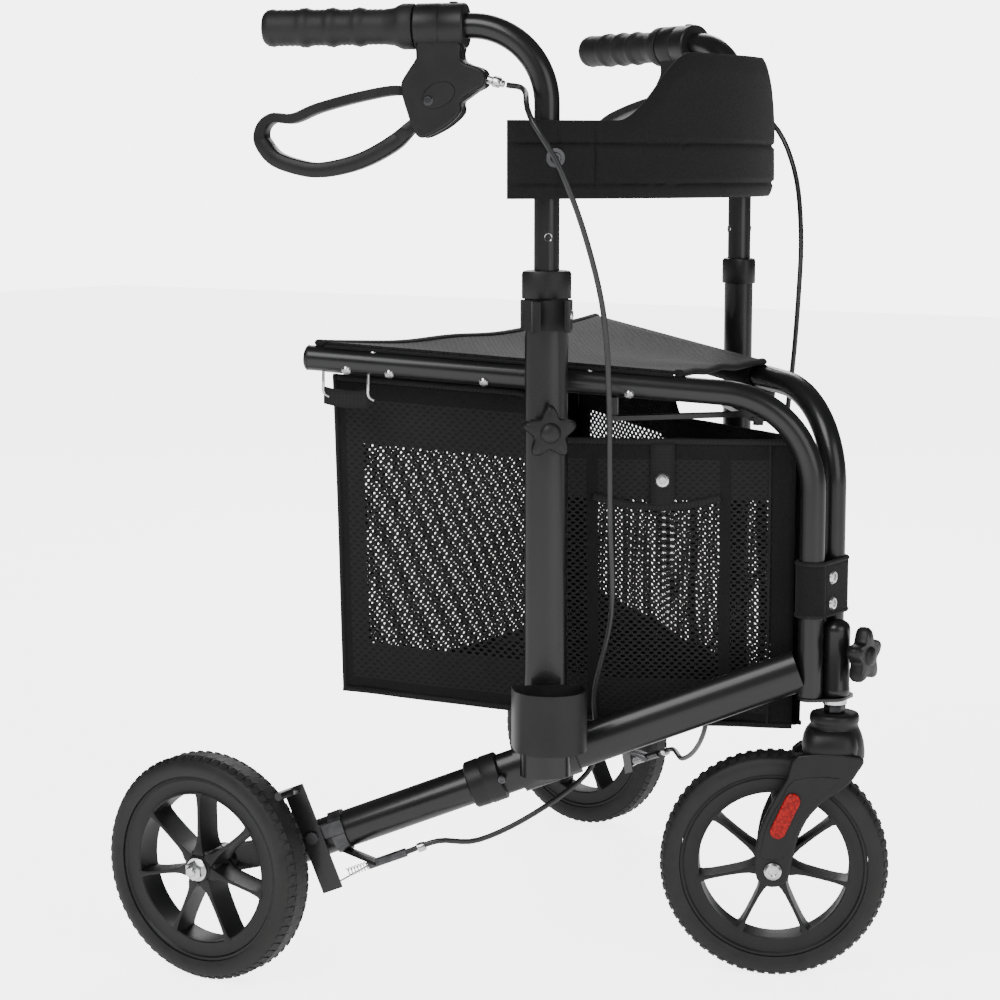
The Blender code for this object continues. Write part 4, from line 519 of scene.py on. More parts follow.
def closed_curve(knots, steps=6):
    """Smooth closed 2D outline through the knots."""
    knots = [Vector(k) for k in knots]
    count = len(knots)
    points = []
    for i in range(count):
        p0, p1, p2, p3 = knots[i - 1], knots[i], knots[(i + 1) % count], knots[(i + 2) % count]
        for k in range(steps):
            t = k / steps
            points.append(0.5 * (p1 * 2 + (p2 - p0) * t + (p0 * 2 - p1 * 5 + p2 * 4 - p3) * t ** 2 + (p1 * 3 - p0 - p2 * 3 + p3) * t ** 3))
    return points


def screw_head(bm, place, out, radius=0.0042, height=0.0022):
    add_lathe(bm, [(0, height * 0.55), (radius * 0.42, height * 0.55), (radius * 0.46, height),
            (radius * 0.8, height * 0.9), (radius, height * 0.3), (radius, -0.001), (0, -0.001)],
              matrix_of(place, out), 18)


def shade_cad(name, material):
    """A carried-over CAD node: smooth shading between its facets and a finished material."""
    obj = NODES[name]
    obj.data.shade_smooth()
    weld = obj.modifiers.new("weld", "WELD")
    weld.merge_threshold = 0.00002
    split = obj.modifiers.new("split", "EDGE_SPLIT")
    split.split_angle = math.radians(40)
    obj.data.materials.clear()
    obj.data.materials.append(material)


# ------------------------------------------------------------------ wheels
def make_wheel(tag, tyre_node, rim_node, centre, axis, body):
    m = matrix_of(centre, axis, UP)
    bm = bmesh.new()
    profile = [(RIM_R + 0.0003, 0.0155), (0.0865, 0.0168), (0.0900, 0.0171), (0.0925, 0.0168),
            (0.0950, 0.0160), (0.0968, 0.0148),
               (0.0982, 0.0128), (0.0990, 0.0106), (0.0996, 0.0080), (0.0999, 0.0040), (0.1000, 0)]
    profile = profile + [(r, -h) for r, h in reversed(profile[:-1])]
    profile += [(RIM_R + 0.0003, -0.0155)]
    add_lathe(bm, profile + [profile[0]], m, 120)
    bmesh.ops.remove_doubles(bm, verts=bm.verts, dist=0.00001)
    blocks = 66
    for k in range(blocks):
        angle = 2 * math.pi * k / blocks
        for sign in (1, -1):
            shift = 0 if sign > 0 else math.pi / blocks
            c, s = math.cos(angle + shift), math.sin(angle + shift)
            radial, tangent = Vector((c, s, 0)), Vector((-s, c, 0))
            spot = radial * 0.0983 + Vector((0, 0, sign * 0.0118))
            tilt = (radial * 0.86 + Vector((0, 0, sign * 0.51))).normalized()
            block = matrix_of(spot, tilt, tangent)
            add_prism(bm, [(-0.0034, -0.0030), (0.0034, -0.0030), (0.0022, 0.0034), (-0.0022, 0.0034)],
                    0.0016, m @ block)
            lug = matrix_of(radial * 0.0996 + Vector((0, 0, sign * 0.0045)), radial, tangent)
            add_prism(bm, [(-0.0038, -0.0026), (0.0024, -0.0032), (0.0038, 0.0026), (-0.0024, 0.0032)], 0.0008, m @ lug)
    piece("tyre_" + tag, bm, RUBBER, body, tyre_node)

    bm = bmesh.new()
    ring = [(RIM_R, 0.0142), (0.0800, 0.0146), (0.0785, 0.0130), (0.0700, 0.0118), (0.0672, 0.0128),
            (0.0660, 0.0120), (0.0668, 0),
            (0.0660, -0.0120), (0.0672, -0.0128), (0.0700, -0.0118), (0.0785, -0.0130), (0.0800, -0.0146), (RIM_R, -0.0142)]
    add_lathe(bm, ring + [ring[0]], m, 96)
    bmesh.ops.remove_doubles(bm, verts=bm.verts, dist=0.00001)
    spokes = 7
    for k in range(spokes):
        angle = 2 * math.pi * k / spokes
        radial = Vector((math.cos(angle), math.sin(angle), 0))
        tangent = Vector((-math.sin(angle), math.cos(angle), 0))
        stations = [(0.0120, 0.0068), (0.0170, 0.0052), (0.0220, 0.0034), (0.0290, 0.0022),
                (0.0420, 0.0017), (0.0560, 0.0018), (0.0640, 0.0028), (0.0682, 0.0052)]
        rows = []
        for r, w in stations:
            d = 0.0128 if r > 0.02 else 0.0140
            row = []
            for u, v in ((-1, 1), (0, 1.03), (1, 1), (1.5, 0), (1, -1), (0, -1.03), (-1, -1), (-1.5, 0)):
                row.append(bm.verts.new(m @ (radial * r + tangent * w * u / 1.2 + Vector((0, 0, d * v)))))
            rows.append(row)
        for a, b in zip(rows, rows[1:]):
            for j in range(8):
                bm.faces.new((a[j], a[(j + 1) % 8], b[(j + 1) % 8], b[j]))
        bm.faces.new(rows[0])
        bm.faces.new(list(reversed(rows[-1])))
    hub = [(0.0062, 0.0150), (0.0105, 0.0150), (0.0120, 0.0142), (0.0125, 0.0128), (0.0150, 0.0126),
            (0.0165, 0.0112), (0.0168, 0),
           (0.0165, -0.0112), (0.0150, -0.0126), (0.0125, -0.0128), (0.0120, -0.0142), (0.0105, -0.0150), (0.0062, -0.0150)]
    add_lathe(bm, hub + [hub[0]], m, 40)
    bmesh.ops.remove_doubles(bm, verts=bm.verts, dist=0.000005)
    piece("rim_" + tag, bm, PLASTIC, body, rim_node)


def rear_centre(side):
    return at(side, 0.3125, 0, WHEEL_R)


for tag, side in SIDES:
    axle = outward(side, 4.0)
    make_wheel("rear_" + tag, "rear_tyre_" + tag, "rear_rim_" + tag, rear_centre(side), axle,
            "rear_wheel_" + tag)
    bm = bmesh.new()
    m = matrix_of(rear_centre(side), axle, UP)
    nut = 0.0160
    add_lathe(bm, [(0, nut + 0.0115), (0.0036, nut + 0.0115), (0.0046, nut + 0.0104),
            (0.0048, nut + 0.0078), (0.0052, nut + 0.0076), (0.0052, nut + 0.006), (0, nut + 0.006)], m, 24)
    add_lathe(bm, [(0, nut + 0.0074), (0.0070, nut + 0.0074), (0.0088, nut + 0.0064),
            (0.0088, nut + 0.0016), (0, nut + 0.0016)], m, 6)
    add_lathe(bm, [(0, nut + 0.0016), (0.0102, nut + 0.0016), (0.0106, nut + 0.0012),
            (0.0106, nut + 0.0002), (0.0100, nut), (0, nut)], m, 32)
    add_tube(bm, [m @ Vector((0, 0, nut)), m @ Vector((0, 0, -0.0285))], 0.0050, 20)
    add_lathe(bm, [(0, -0.0284), (0.0090, -0.0284), (0.0090, -0.0335), (0, -0.0338)], m, 6)
    piece("axle_" + tag, bm, STEEL, "frame_" + tag, "rear_axle_" + tag)

F_AHEAD = Vector((math.sin(SWIVEL), -math.cos(SWIVEL), 0))
F_ACROSS = Vector((-math.cos(SWIVEL), -math.sin(SWIVEL), 0))
F_CENTRE = at(1, 0, SOCKET_AHEAD, WHEEL_R) - F_AHEAD * TRAIL
make_wheel("front", "front_tyre", "front_rim", F_CENTRE, F_ACROSS, "front_wheel")


# ------------------------------------------------------------------ side frames
def frame_tubes(tag, side):
    body = "frame_" + tag
    foot, corner = at(side, HINGE_OUT, HINGE_AHEAD, 0.2532), at(side, HINGE_OUT, HINGE_AHEAD, RAIL_CORNER)
    bm = bmesh.new()
    add_tube(bm, arc_path([foot, corner, rail(side, RAIL_END)], 0.085, 20), RAIL_R, 32)
    piece("rail_" + tag, bm, PAINT, body, "top_rail_" + tag)
    bm = bmesh.new()
    start = lower(side, 0.0105)
    add_tube(bm, [start, lower(side, COLLAR_AT)], 0.0185, 40, 0.0125 / 0.0185, lower_sq(side))
    piece("lower_" + tag, bm, PAINT, body, "lower_tube_" + tag)
    bm = bmesh.new()
    add_tube(bm, [upright(side, 0.2290), upright(side, 0.6120)], 0.0185, 40, 0.0125 / 0.0185,
            rearward(side, UP_SPLAY))
    piece("post_" + tag, bm, PAINT, body, "upright_" + tag)
    # collar, in two steps with rounded lips
    along = lower_dir(side)
    middle = lower(side, COLLAR_AT)
    bm = bmesh.new()
    steps = [(-0.0150, 0.0195), (-0.0138, 0.0214), (-0.0010, 0.0216), (0.0008, 0.0208), (0.0030, 0.0213),
            (0.0136, 0.0210), (0.0150, 0.0196)]
    add_tube(bm, [middle + along * d for d, r in steps], [r for d, r in steps], 40, 0.94, lower_sq(side))
    collar = piece("collar_" + tag, bm, PLASTIC, body, "tube_collar_" + tag)
    # stay, lug and axle socket
    bm = bmesh.new()
    end = lower(side, STAY_END)
    add_tube(bm, [lower(side, COLLAR_AT), end - along * 0.006, end - along * 0.0015, end],
            [STAY_R, STAY_R, STAY_R * 0.93, STAY_R * 0.80], 40)
    axis = outward(side, 4.0)
    face = rear_centre(side) - axis * 0.016
    heart = face - axis * 0.0060
    reach = end - along * 0.010 - heart
    add_lathe(bm, [(0.0062, 0), (0.0132, 0), (0.0140, -0.0010), (0.0140, -0.0110), (0.0130, -0.0120),
            (0.0062, -0.0120)], matrix_of(face, axis, UP), 32)
    web = matrix_of(heart + reach / 2, reach, axis)
    add_prism(bm, [(-0.0052, -0.0118), (0.0052, -0.0118), (0.0052, 0.0118), (-0.0052, 0.0118)],
            reach.length, web)
    stay = piece("stay_" + tag, bm, PAINT, body, "rear_stay_" + tag)
    bevel(stay, 0.0012, 2, 50)
    bm = bmesh.new()
    tip = rail(side, RAIL_END)
    out = (tip - rail(side, 0.30)).normalized()
    add_lathe(bm, [(0, 0.0040), (0.0060, 0.0037), (0.0092, 0.0024), (0.0112, 0.0004), (0.0112, -0.0006),
            (0, -0.0006)], matrix_of(tip, out, UP), 32)
    piece("rail_plug_" + tag, bm, PLASTIC, body, "rail_end_plug_" + tag)
    # cap over the upright
    bm = bmesh.new()
    lips = [(0.6005, 0.0206), (0.6012, 0.0211), (0.6215, 0.0211), (0.6236, 0.0200), (0.6243, 0.0170)]
    add_tube(bm, [upright(side, h) for h, r in lips], [r for h, r in lips], 40, 0.70, rearward(side, UP_SPLAY))
    piece("cap_" + tag, bm, PLASTIC, body, "upright_cap_" + tag)
    shade_cad("upright_foot_" + tag, PAINT)
    # seam screws on the rail and the rivets of the foot
    bm = bmesh.new()
    under = outward(side, RAIL_SPLAY) * 0.72 - UP * 0.69
    for ahead in (0.085, 0.118, 0.190, 0.232, 0.300):
        screw_head(bm, rail(side, ahead) + under * (RAIL_R - 0.0004), under, 0.0046, 0.0026)
    for ahead in (0.105, 0.270):
        top = UP * 0.96 + outward(side, RAIL_SPLAY) * 0.27
        screw_head(bm, rail(side, ahead) + top * (RAIL_R - 0.0006), top, 0.0036, 0.0014)
    piece("rail_screws_" + tag, bm, STEEL, body)
    bm = bmesh.new()
    screw_head(bm, lower(side, 0.238, 0.0, 0.0124), outward(side, LOWER_SPLAY), 0.0048, 0.0024)
    screw_head(bm, lower(side, 0.268, 0.0, 0.0196), outward(side, LOWER_SPLAY), 0.0040, 0.0020)
    piece("lower_screws_" + tag, bm, DARK_STEEL, body)


for tag, side in SIDES:
    frame_tubes(tag, side)


# ------------------------------------------------------------------ handles
HOUSING = [(0.0735, 0.8150), (0.0715, 0.7990), (0.0560, 0.7925), (0.0515, 0.7880), (0.0515, 0.7780),
        (0.0600, 0.7730), (0.0715, 0.7655),
           (0.0715, 0.7560), (0.0800, 0.7470), (0.0910, 0.7400), (0.1050, 0.7345), (0.1120,
                   0.7400), (0.1180, 0.7560), (0.1235, 0.7770),
           (0.1180, 0.7890), (0.1100, 0.8010), (0.1080, 0.8150)]
LEVER_OUT = [(0.0945, 0.7590), (0.1060, 0.7715), (0.1270, 0.7785), (0.1600, 0.7738), (0.1990, 0.7640),
        (0.2210, 0.7555), (0.2390, 0.7560),
             (0.2515, 0.7470), (0.2545, 0.7310), (0.2420, 0.7135), (0.2200, 0.7045), (0.1950, 0.7015), (0.1600, 0.7092), (0.1290, 0.7250), (0.1120, 0.7410)]


def inset(points, distance):
    count = len(points)
    area = sum(points[i - 1][0] * points[i][1] - points[i][0] * points[i - 1][1] for i in range(count))
    turn = 1 if area > 0 else -1
    result = []
    for i in range(count):
        corner = Vector(points[i])
        a = (corner - Vector(points[i - 1])).normalized()
        b = (Vector(points[(i + 1) % count]) - corner).normalized()
        na, nb = Vector((-a.y, a.x)) * turn, Vector((-b.y, b.x)) * turn
        middle = (na + nb).normalized()
        depth = distance[i] if isinstance(distance, list) else distance
        result.append(corner + middle * depth / max(0.6, middle.dot(na)))
    return result


def plane_of(side, along, height, shift=0.0):
    back = rearward(side, HANDLE_SPLAY)
    normal = back.cross(UP)
    return matrix_of(grip_at(side, along, height) + normal * shift, normal, back)


def add_band(bm, outer, inner, width, matrix):
    """Closed band between two outlines of equal count, with softened rims."""
    rows = []
    for share, lift in ((0.0, 0.84), (0.10, 1.0), (0.90, 1.0), (1.0, 0.84)):
        for sign in (1, -1):
            rows.append((share, sign * lift * width / 2))
    order = [rows[0], rows[2], rows[4], rows[6], rows[7], rows[5], rows[3], rows[1]]
    rings = []
    for share, height in order:
        rings.append([bm.verts.new(matrix @ Vector((*o.lerp(i, share), height))) for o, i in zip(outer, inner)])
    count = len(outer)
    for a, b in zip(rings, rings[1:] + rings[:1]):
        for k in range(count):
            bm.faces.new((a[k], a[(k + 1) % count], b[(k + 1) % count], b[k]))


def handle_pieces(tag, side):
    body = "handle_" + tag
    back = rearward(side, HANDLE_SPLAY)
    bm = bmesh.new()
    path = arc_path([upright(side, 0.400), upright(side, GRIP_H), grip_at(side, 0.2400, GRIP_H)], 0.065, 22)
    add_tube(bm, path, HANDLE_R, 32)
    piece("handle_bar_" + tag, bm, PAINT, body, "handle_tube_" + tag)
    # pin holes shown as dark dimples on both faces
    bm = bmesh.new()
    out = outward(side, UP_SPLAY)
    for sign in (1, -1):
        place = upright(side, 0.6520) + out * sign * (HANDLE_R - 0.0006)
        add_lathe(bm, [(0, 0.0002), (0.0026, 0.0002), (0.0034, 0.0008), (0.0036, 0.0002), (0.0036, -0.0010),
                (0, -0.0010)], matrix_of(place, out * sign), 20)
    piece("pin_holes_" + tag, bm, STEEL, body)
    # grip
    bm = bmesh.new()
    length = 0.2465 - 0.113
    profile = [(0, length), (0.0085, length - 0.0002), (0.0128, length - 0.0016), (0.0152, length - 0.0046),
            (0.0160, length - 0.0090)]
    count = 44
    for k in range(1, count):
        h = length - 0.0090 - (length - 0.0090 - 0.0230) * k / count
        share = 1 - h / length
        wave = max(0.0, math.cos((share - 0.28) / 0.18 * 2 * math.pi)) if 0.20 < share < 0.73 else 0.0
        groove = 0.00022 * (1 if k % 2 else -1) if share > 0.1 else 0
        profile.append((0.0146 + 0.0016 * wave + groove + 0.0008 * (1 - share), h))
    profile += [(0.0158, 0.0180), (0.0182, 0.0128), (0.0192, 0.0100), (0.0192, 0.0012), (0.0186, 0),
            (HANDLE_R, 0)]
    add_lathe(bm, profile, matrix_of(grip_at(side, 0.113, GRIP_H), back, UP), 40)
    piece("grip_" + tag, bm, GRIP, body, "handle_grip_" + tag, 60)
    # housing: clamp and body
    bm = bmesh.new()
    add_lathe(bm, [(HANDLE_R, 0.0433), (0.0180, 0.0433), (0.0191, 0.0420), (0.0192, 0.0225),
            (0.0186, 0.0215), (0.0192, 0.0205), (0.0191, 0.0014), (0.0180, 0), (HANDLE_R, 0)],
              matrix_of(grip_at(side, 0.0687, GRIP_H), back, UP), 40)
    piece("clamp_" + tag, bm, PLASTIC, body, "brake_housing_" + tag)
    bm = bmesh.new()
    outline = closed_curve(HOUSING, 3)
    for shift in (-0.0089, 0.0089):
        add_prism(bm, outline, 0.0070, plane_of(side, 0, 0, shift))
    core = [(0.0735, 0.8120), (0.0715, 0.7990), (0.0530, 0.7900), (0.0530, 0.7770), (0.0715, 0.7640),
            (0.0740, 0.7560), (0.0850, 0.7480), (0.0855, 0.7860), (0.1050, 0.7900), (0.1060, 0.8120)]
    add_prism(bm, core, 0.0150, plane_of(side, 0, 0))
    body_piece = piece("housing_" + tag, bm, PLASTIC, body)
    bevel(body_piece, 0.0022, 3, 40)
    # oval boss and pivot screws on both cheeks
    bm = bmesh.new()
    for sign in (1, -1):
        face = plane_of(side, 0.0905, 0.7700, sign * 0.0126)
        tilt = Matrix.Rotation(math.radians(-24), 4, "Z")
        oval = [(0.0150 * math.cos(a), 0.0098 * math.sin(a)) for a in [2 * math.pi * k / 36 for k in range(36)]]
        add_prism(bm, oval, 0.0022, face @ tilt)
    bosses = piece("housing_boss_" + tag, bm, PLASTIC, body)
    bevel(bosses, 0.0008, 2, 40)
    bm = bmesh.new()
    for sign in (1, -1):
        normal = back.cross(UP) * sign
        screw_head(bm, grip_at(side, 0.0990, 0.7656) + normal * 0.0136, normal, 0.0044, 0.0014)
    screw_head(bm, grip_at(side, 0.0800, GRIP_H) + UP * 0.0188, UP, 0.0040, 0.0014)
    piece("lever_pin_" + tag, bm, DARK_STEEL, body)
    # lever loop
    bm = bmesh.new()
    outer = closed_curve(LEVER_OUT, 5)
    depths = [0.0082 + 0.0046 * min(1.0, max(0.0, (0.7560 - p.y) / 0.030)) for p in outer]
    inner = [Vector(p) for p in inset([tuple(p) for p in outer], depths)]
    add_band(bm, outer, inner, 0.0172, plane_of(side, 0, 0))
    for v in bm.verts:
        local = plane_of(side, 0, 0).inverted() @ v.co
        if local.x < 0.128:
            squeeze = 0.52 + 0.48 * max(0.0, min(1.0, (local.x - 0.116) / 0.012))
            v.co = plane_of(side, 0, 0) @ Vector((local.x, local.y, local.z * squeeze))
    piece("lever_" + tag, bm, PLASTIC, "lever_" + tag, "brake_lever_" + tag, 50)
    bm = bmesh.new()
    nose = [(0.0945, 0.7590), (0.1050, 0.7705), (0.1180, 0.7745), (0.1180, 0.7500), (0.1110, 0.7425),
            (0.1000, 0.7510)]
    add_prism(bm, nose, 0.0090, plane_of(side, 0, 0))
    nose_piece = piece("lever_nose_" + tag, bm, PLASTIC, "lever_" + tag)
    bevel(nose_piece, 0.001, 2, 40)
    # barrel adjuster, knurled
    bm = bmesh.new()
    start = grip_at(side, 0.0507, 0.7832)
    ahead = (-back * 0.96 - UP * 0.28).normalized()
    add_lathe(bm, [(0, 0.0150), (0.0024, 0.0150), (0.0030, 0.0138), (0.0030, 0.0118), (0.0044, 0.0112),
            (0.0046, 0.0104), (0.0046, 0.0056), (0.0042, 0.0048), (0.0034, 0.0044), (0.0034, 0.0002),
            (0, 0.0002)],
              matrix_of(start, ahead, UP), 36, lambda a: 1 + 0.035 * math.cos(12 * a))
    piece("adjuster_" + tag, bm, STEEL, body, "barrel_adjuster_" + tag)


for tag, side in SIDES:
    handle_pieces(tag, side)


# ------------------------------------------------------------------ brake cables
STOP = (0.3800, -0.0330, 0.0205)


def cable_route(side):
    back = rearward(side, HANDLE_SPLAY)
    ahead = (-back * 0.96 - UP * 0.28).normalized()
    leave = grip_at(side, 0.0507, 0.7832) + ahead * 0.0165
    stop = lower(side, *STOP)
    along = lower_dir(side)
    return smooth_route([
        leave, leave + ahead * 0.016, at(side, 0.2110, 0.2720, 0.7520), at(side, 0.2060, 0.2990,
                0.7080), at(side, 0.1910, 0.3150, 0.6500),
        at(side, 0.1740, 0.3220, 0.5850), at(side, 0.1640, 0.3210, 0.5100), at(side, 0.1520, 0.3150,
                0.4200), at(side, 0.1340, 0.3060, 0.3300),
        lower(side, 0.1740, 0.0400, -0.0200), lower(side, 0.1860, 0.0000, -0.0190), lower(side, 0.2040,
                -0.0280, -0.0160),
        lower(side, 0.2560, -0.0430, 0.0000), lower(side, 0.3050, -0.0460,
                0.0120), stop - along * 0.0480, stop - along * 0.0180,
    ], 5)


for tag, side in SIDES:
    route = cable_route(side)
    bm = bmesh.new()
    add_tube(bm, route, 0.0024, 16)
    cable = piece("cable_" + tag, bm, SHEATH, None, "brake_cable_" + tag)
    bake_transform(cable)


# ------------------------------------------------------------------ knobs
def star(tag, centre, axis, radius, thick, stud, node, body):
    m = matrix_of(centre, axis, UP)
    bm = bmesh.new()
    lobe = lambda a: 0.80 + 0.19 * math.cos(5 * a) + 0.01 * math.cos(10 * a)
    t = thick / 2
    add_lathe(bm, [(0, t), (radius * 0.55, t), (radius * 0.90, t * 0.94), (radius * 0.98, t * 0.6),
            (radius, 0), (radius * 0.98, -t * 0.6), (radius * 0.90, -t * 0.94), (0, -t)],
              m, 100, lobe)
    add_lathe(bm, [(0, 0.0105), (0.0030, 0.0103), (0.0060, 0.0095), (0.0082, 0.0078), (0.0094, 0.0050),
            (0.0098, 0.0), (0.0096, -0.0096), (0, -0.0100)], m, 36)
    piece(tag, bm, PLASTIC, body, node, 50)
    bm = bmesh.new()
    add_tube(bm, [centre - axis * stud, centre], 0.0029, 18)
    piece(tag + "_stud", bm, STEEL, body)


for tag, side in SIDES:
    out = outward(side, UP_SPLAY)
    centre = upright(side, 0.4896) + out * (0.0125 + 0.0060 + 0.0065)
    stud = (centre - upright(side, 0.4896)).length - HANDLE_R - 0.0003
    star("height_star_" + tag, centre, out, 0.0235, 0.0130, stud, "height_knob_" + tag, "height_knob_" + tag)
front = Vector((0, -1, 0))
reach = SOCKET_R + 0.0080 + 0.0065
star("front_star", at(1, 0, SOCKET_AHEAD, 0.2905) + front * reach, front, 0.0255, 0.0130, reach - 0.0068,
        "front_knob", "front_knob")


# ------------------------------------------------------------------ brake arms and their mounts
for tag, side in SIDES:
    shade_cad("brake_arm_" + tag, PAINT)
    shade_cad("brake_mount_" + tag, DARK_STEEL)
    along = lower_dir(side)
    stop = lower(side, *STOP)
    bm = bmesh.new()
    add_lathe(bm, [(0, 0.0178), (0.0036, 0.0178), (0.0042, 0.0160), (0.0042, 0.0110), (0, 0.0110)],
            matrix_of(stop - along * 0.0176, -along), 20)
    turns = [stop + along * (0.0182 + 0.020 * k / 70) + (lower_sq(side) * math.cos(2 * math.pi * k / 10) + outward(side, LOWER_SPLAY) * math.sin(2 * math.pi * k / 10)) * 0.0036 for k in range(71)]
    add_tube(bm, turns, 0.0005, 8)
    add_tube(bm, [stop + along * 0.0175, lower(side, 0.4322, 0.0075 - 0.0470, STAY_R + 0.0044)], 0.0008, 10)
    piece("cable_end_" + tag, bm, STEEL, "frame_" + tag)


# ------------------------------------------------------------------ folding brace
for tag in ("right", "left"):
    shade_cad("brace_link_" + tag, PAINT)


# ------------------------------------------------------------------ head, caster and fork
shade_cad("hinge_plate", PAINT)
bm = bmesh.new()
foot = 0.2528
add_lathe(bm, [(0, SOCKET_TOP + 0.0040), (0.0040, SOCKET_TOP + 0.0038), (0.0080, SOCKET_TOP + 0.0028),
        (0.0112, SOCKET_TOP + 0.0004), (0.0124, SOCKET_TOP - 0.0030), (SOCKET_R, SOCKET_TOP - 0.0060),
               (SOCKET_R, 0.2600), (0.0129, 0.2590), (0.0129, 0.2540), (0.0122, foot), (0.0068, foot)], Matrix.Translation(at(1, 0, SOCKET_AHEAD, 0)), 48)
piece("socket", bm, PAINT, "head", "caster_socket")
bm = bmesh.new()
m = Matrix.Translation(at(1, 0, SOCKET_AHEAD, 0))
add_lathe(bm, [(0, 0.2497), (0.0100, 0.2497), (0.0106, 0.2490), (0.0106, 0.2452), (0.0100, 0.2445),
        (0, 0.2445)], m, 40)
add_lathe(bm, [(0, 0.3050), (0.0058, 0.3050), (0.0058, 0.2490), (0, 0.2490)], m, 24)
piece("stem", bm, STEEL, "fork", "caster_stem")
bm = bmesh.new()
add_lathe(bm, [(0, 0.2444), (0.0092, 0.2444), (0.0096, 0.2436), (0.0096, 0.2382), (0, 0.2380)], m, 6)
piece("stem_nut", bm, DARK_STEEL, "fork")

FORK_SIDE = [(0.0740, 0.1040), (0.0715, 0.0900), (0.0610, 0.0760), (0.0440, 0.0640), (0.0285, 0.0460),
        (0.0190, 0.0220), (0.0152, 0.0000),
             (0.0108, -0.0112), (-0.0008, -0.0152), (-0.0122, -0.0108), (-0.0158, 0.0020), (-0.0152,
                     0.0200), (-0.0105, 0.0410), (0.0000, 0.0640),
             (0.0110, 0.0830), (0.0210, 0.1040)]
bm = bmesh.new()
crown = [(0, CROWN_TOP), (0.0180, CROWN_TOP), (0.0205, CROWN_TOP - 0.0008), (0.0216, CROWN_TOP - 0.0028),
        (0.0217, CROWN_TOP - 0.0070), (0.0212, CROWN_TOP - 0.0086),
         (0.0206, CROWN_TOP - 0.0098), (0.0214, CROWN_TOP - 0.0130), (0.0240, CROWN_TOP - 0.0190), (0.0260, CROWN_TOP - 0.0260), (0.0270, CROWN_TOP - 0.0340)]
add_lathe(bm, crown + [(0.0268, CROWN_TOP - 0.0400), (0.0, CROWN_TOP - 0.0330)], m, 48)
piece("crown", bm, PLASTIC, "fork", "fork", 50)
bm = bmesh.new()
middle = 0.0215 + 0.00425
for sign in (1, -1):
    legs = closed_curve(FORK_SIDE, 3)
    base = Matrix((F_AHEAD, UP, F_ACROSS)).transposed().to_4x4()
    base.translation = F_CENTRE + F_ACROSS * sign * middle
    add_prism(bm, legs, 0.0085, base)
legs_piece = piece("fork_legs", bm, PLASTIC, "fork")
bevel(legs_piece, 0.0020, 3, 40)
bm = bmesh.new()
for sign in (1, -1):
    base = Matrix((F_AHEAD, UP, F_ACROSS)).transposed().to_4x4()
    base.translation = F_CENTRE + F_ACROSS * sign * (middle + 0.0040)
    rib = [(0.0420, 0.0700), (0.0260, 0.0540), (0.0140, 0.0250), (0.0085, 0.0120), (-0.0095, 0.0110),
            (-0.0100, 0.0230), (-0.0050, 0.0430), (0.0060, 0.0640), (0.0180, 0.0820), (0.0560, 0.0850)]
    add_prism(bm, closed_curve(rib, 3), 0.0020, base)
    boss = matrix_of(F_CENTRE + F_ACROSS * sign * 0.0160, F_ACROSS * sign)
    add_lathe(bm, [(0.0046, 0.0), (0.0090, 0.0), (0.0095, 0.0006), (0.0095, 0.0130), (0.0046, 0.0130)],
            boss, 32)
rib_piece = piece("fork_ribs", bm, PLASTIC, "fork")
bevel(rib_piece, 0.0007, 2, 40)
bm = bmesh.new()
shoulder = F_CENTRE + F_AHEAD * (TRAIL - 0.003)
half_x, half_y = 0.0245, 0.0285
rows = []
for level, grow in ((0.0035, 1.0), (0.0090, 1.02), (0.0150, 0.98), (0.0200, 0.90), (0.0240, 0.78)):
    ring = []
    for k in range(40):
        a = 2 * math.pi * k / 40
        c, s = math.cos(a), math.sin(a)
        power = 0.55
        x = half_x * grow * math.copysign(abs(c) ** power, c)
        y = half_y * grow * math.copysign(abs(s) ** power, s)
        ring.append(bm.verts.new(Vector((shoulder.x, shoulder.y,
                WHEEL_R + 0.1000 + level)) + F_AHEAD * x + F_ACROSS * y))
    rows.append(ring)
for a, b in zip(rows, rows[1:]):
    for k in range(40):
        bm.faces.new((a[k], a[(k + 1) % 40], b[(k + 1) % 40], b[k]))
bm.faces.new(rows[0])
bm.faces.new(list(reversed(rows[-1])))
piece("fork_shoulder", bm, PLASTIC, "fork", (), 50)

for tag, sign in (("right", 1), ("left", -1)):
    across = F_ACROSS * sign
    lean = (F_AHEAD * 0.41 + UP * 0.912).normalized()
    spot = F_CENTRE + F_AHEAD * 0.0100 + UP * 0.0500 + across * (0.0300 + 0.0003 + 0.0012)
    outline = []
    for end in (1, -1):
        for k in range(13):
            a = math.radians(-90 + 180 * k / 12)
            outline.append((end * (0.0150 + 0.0068 * math.cos(a)), end * 0.0068 * math.sin(a)))
    bm = bmesh.new()
    add_prism(bm, outline, 0.0026, matrix_of(spot + across * 0.0004, across, lean))
    lens = piece("reflector_" + tag, bm, REFLECTOR, "fork", "fork_reflector_" + tag)
    bevel(lens, 0.0008, 3, 40)
bm = bmesh.new()
for sign in (1, -1):
    face = matrix_of(F_CENTRE + F_ACROSS * sign * 0.0303, F_ACROSS * sign)
    add_lathe(bm, [(0, 0.0014), (0.0034, 0.0014), (0.0040, 0.0040), (0.0058, 0.0038), (0.0076, 0.0022),
            (0.0078, 0.0002), (0, 0.0)], face, 28)
add_tube(bm, [F_CENTRE - F_ACROSS * 0.029, F_CENTRE + F_ACROSS * 0.029], 0.0043, 20)
piece("front_bolt", bm, STEEL, "fork", "front_axle")


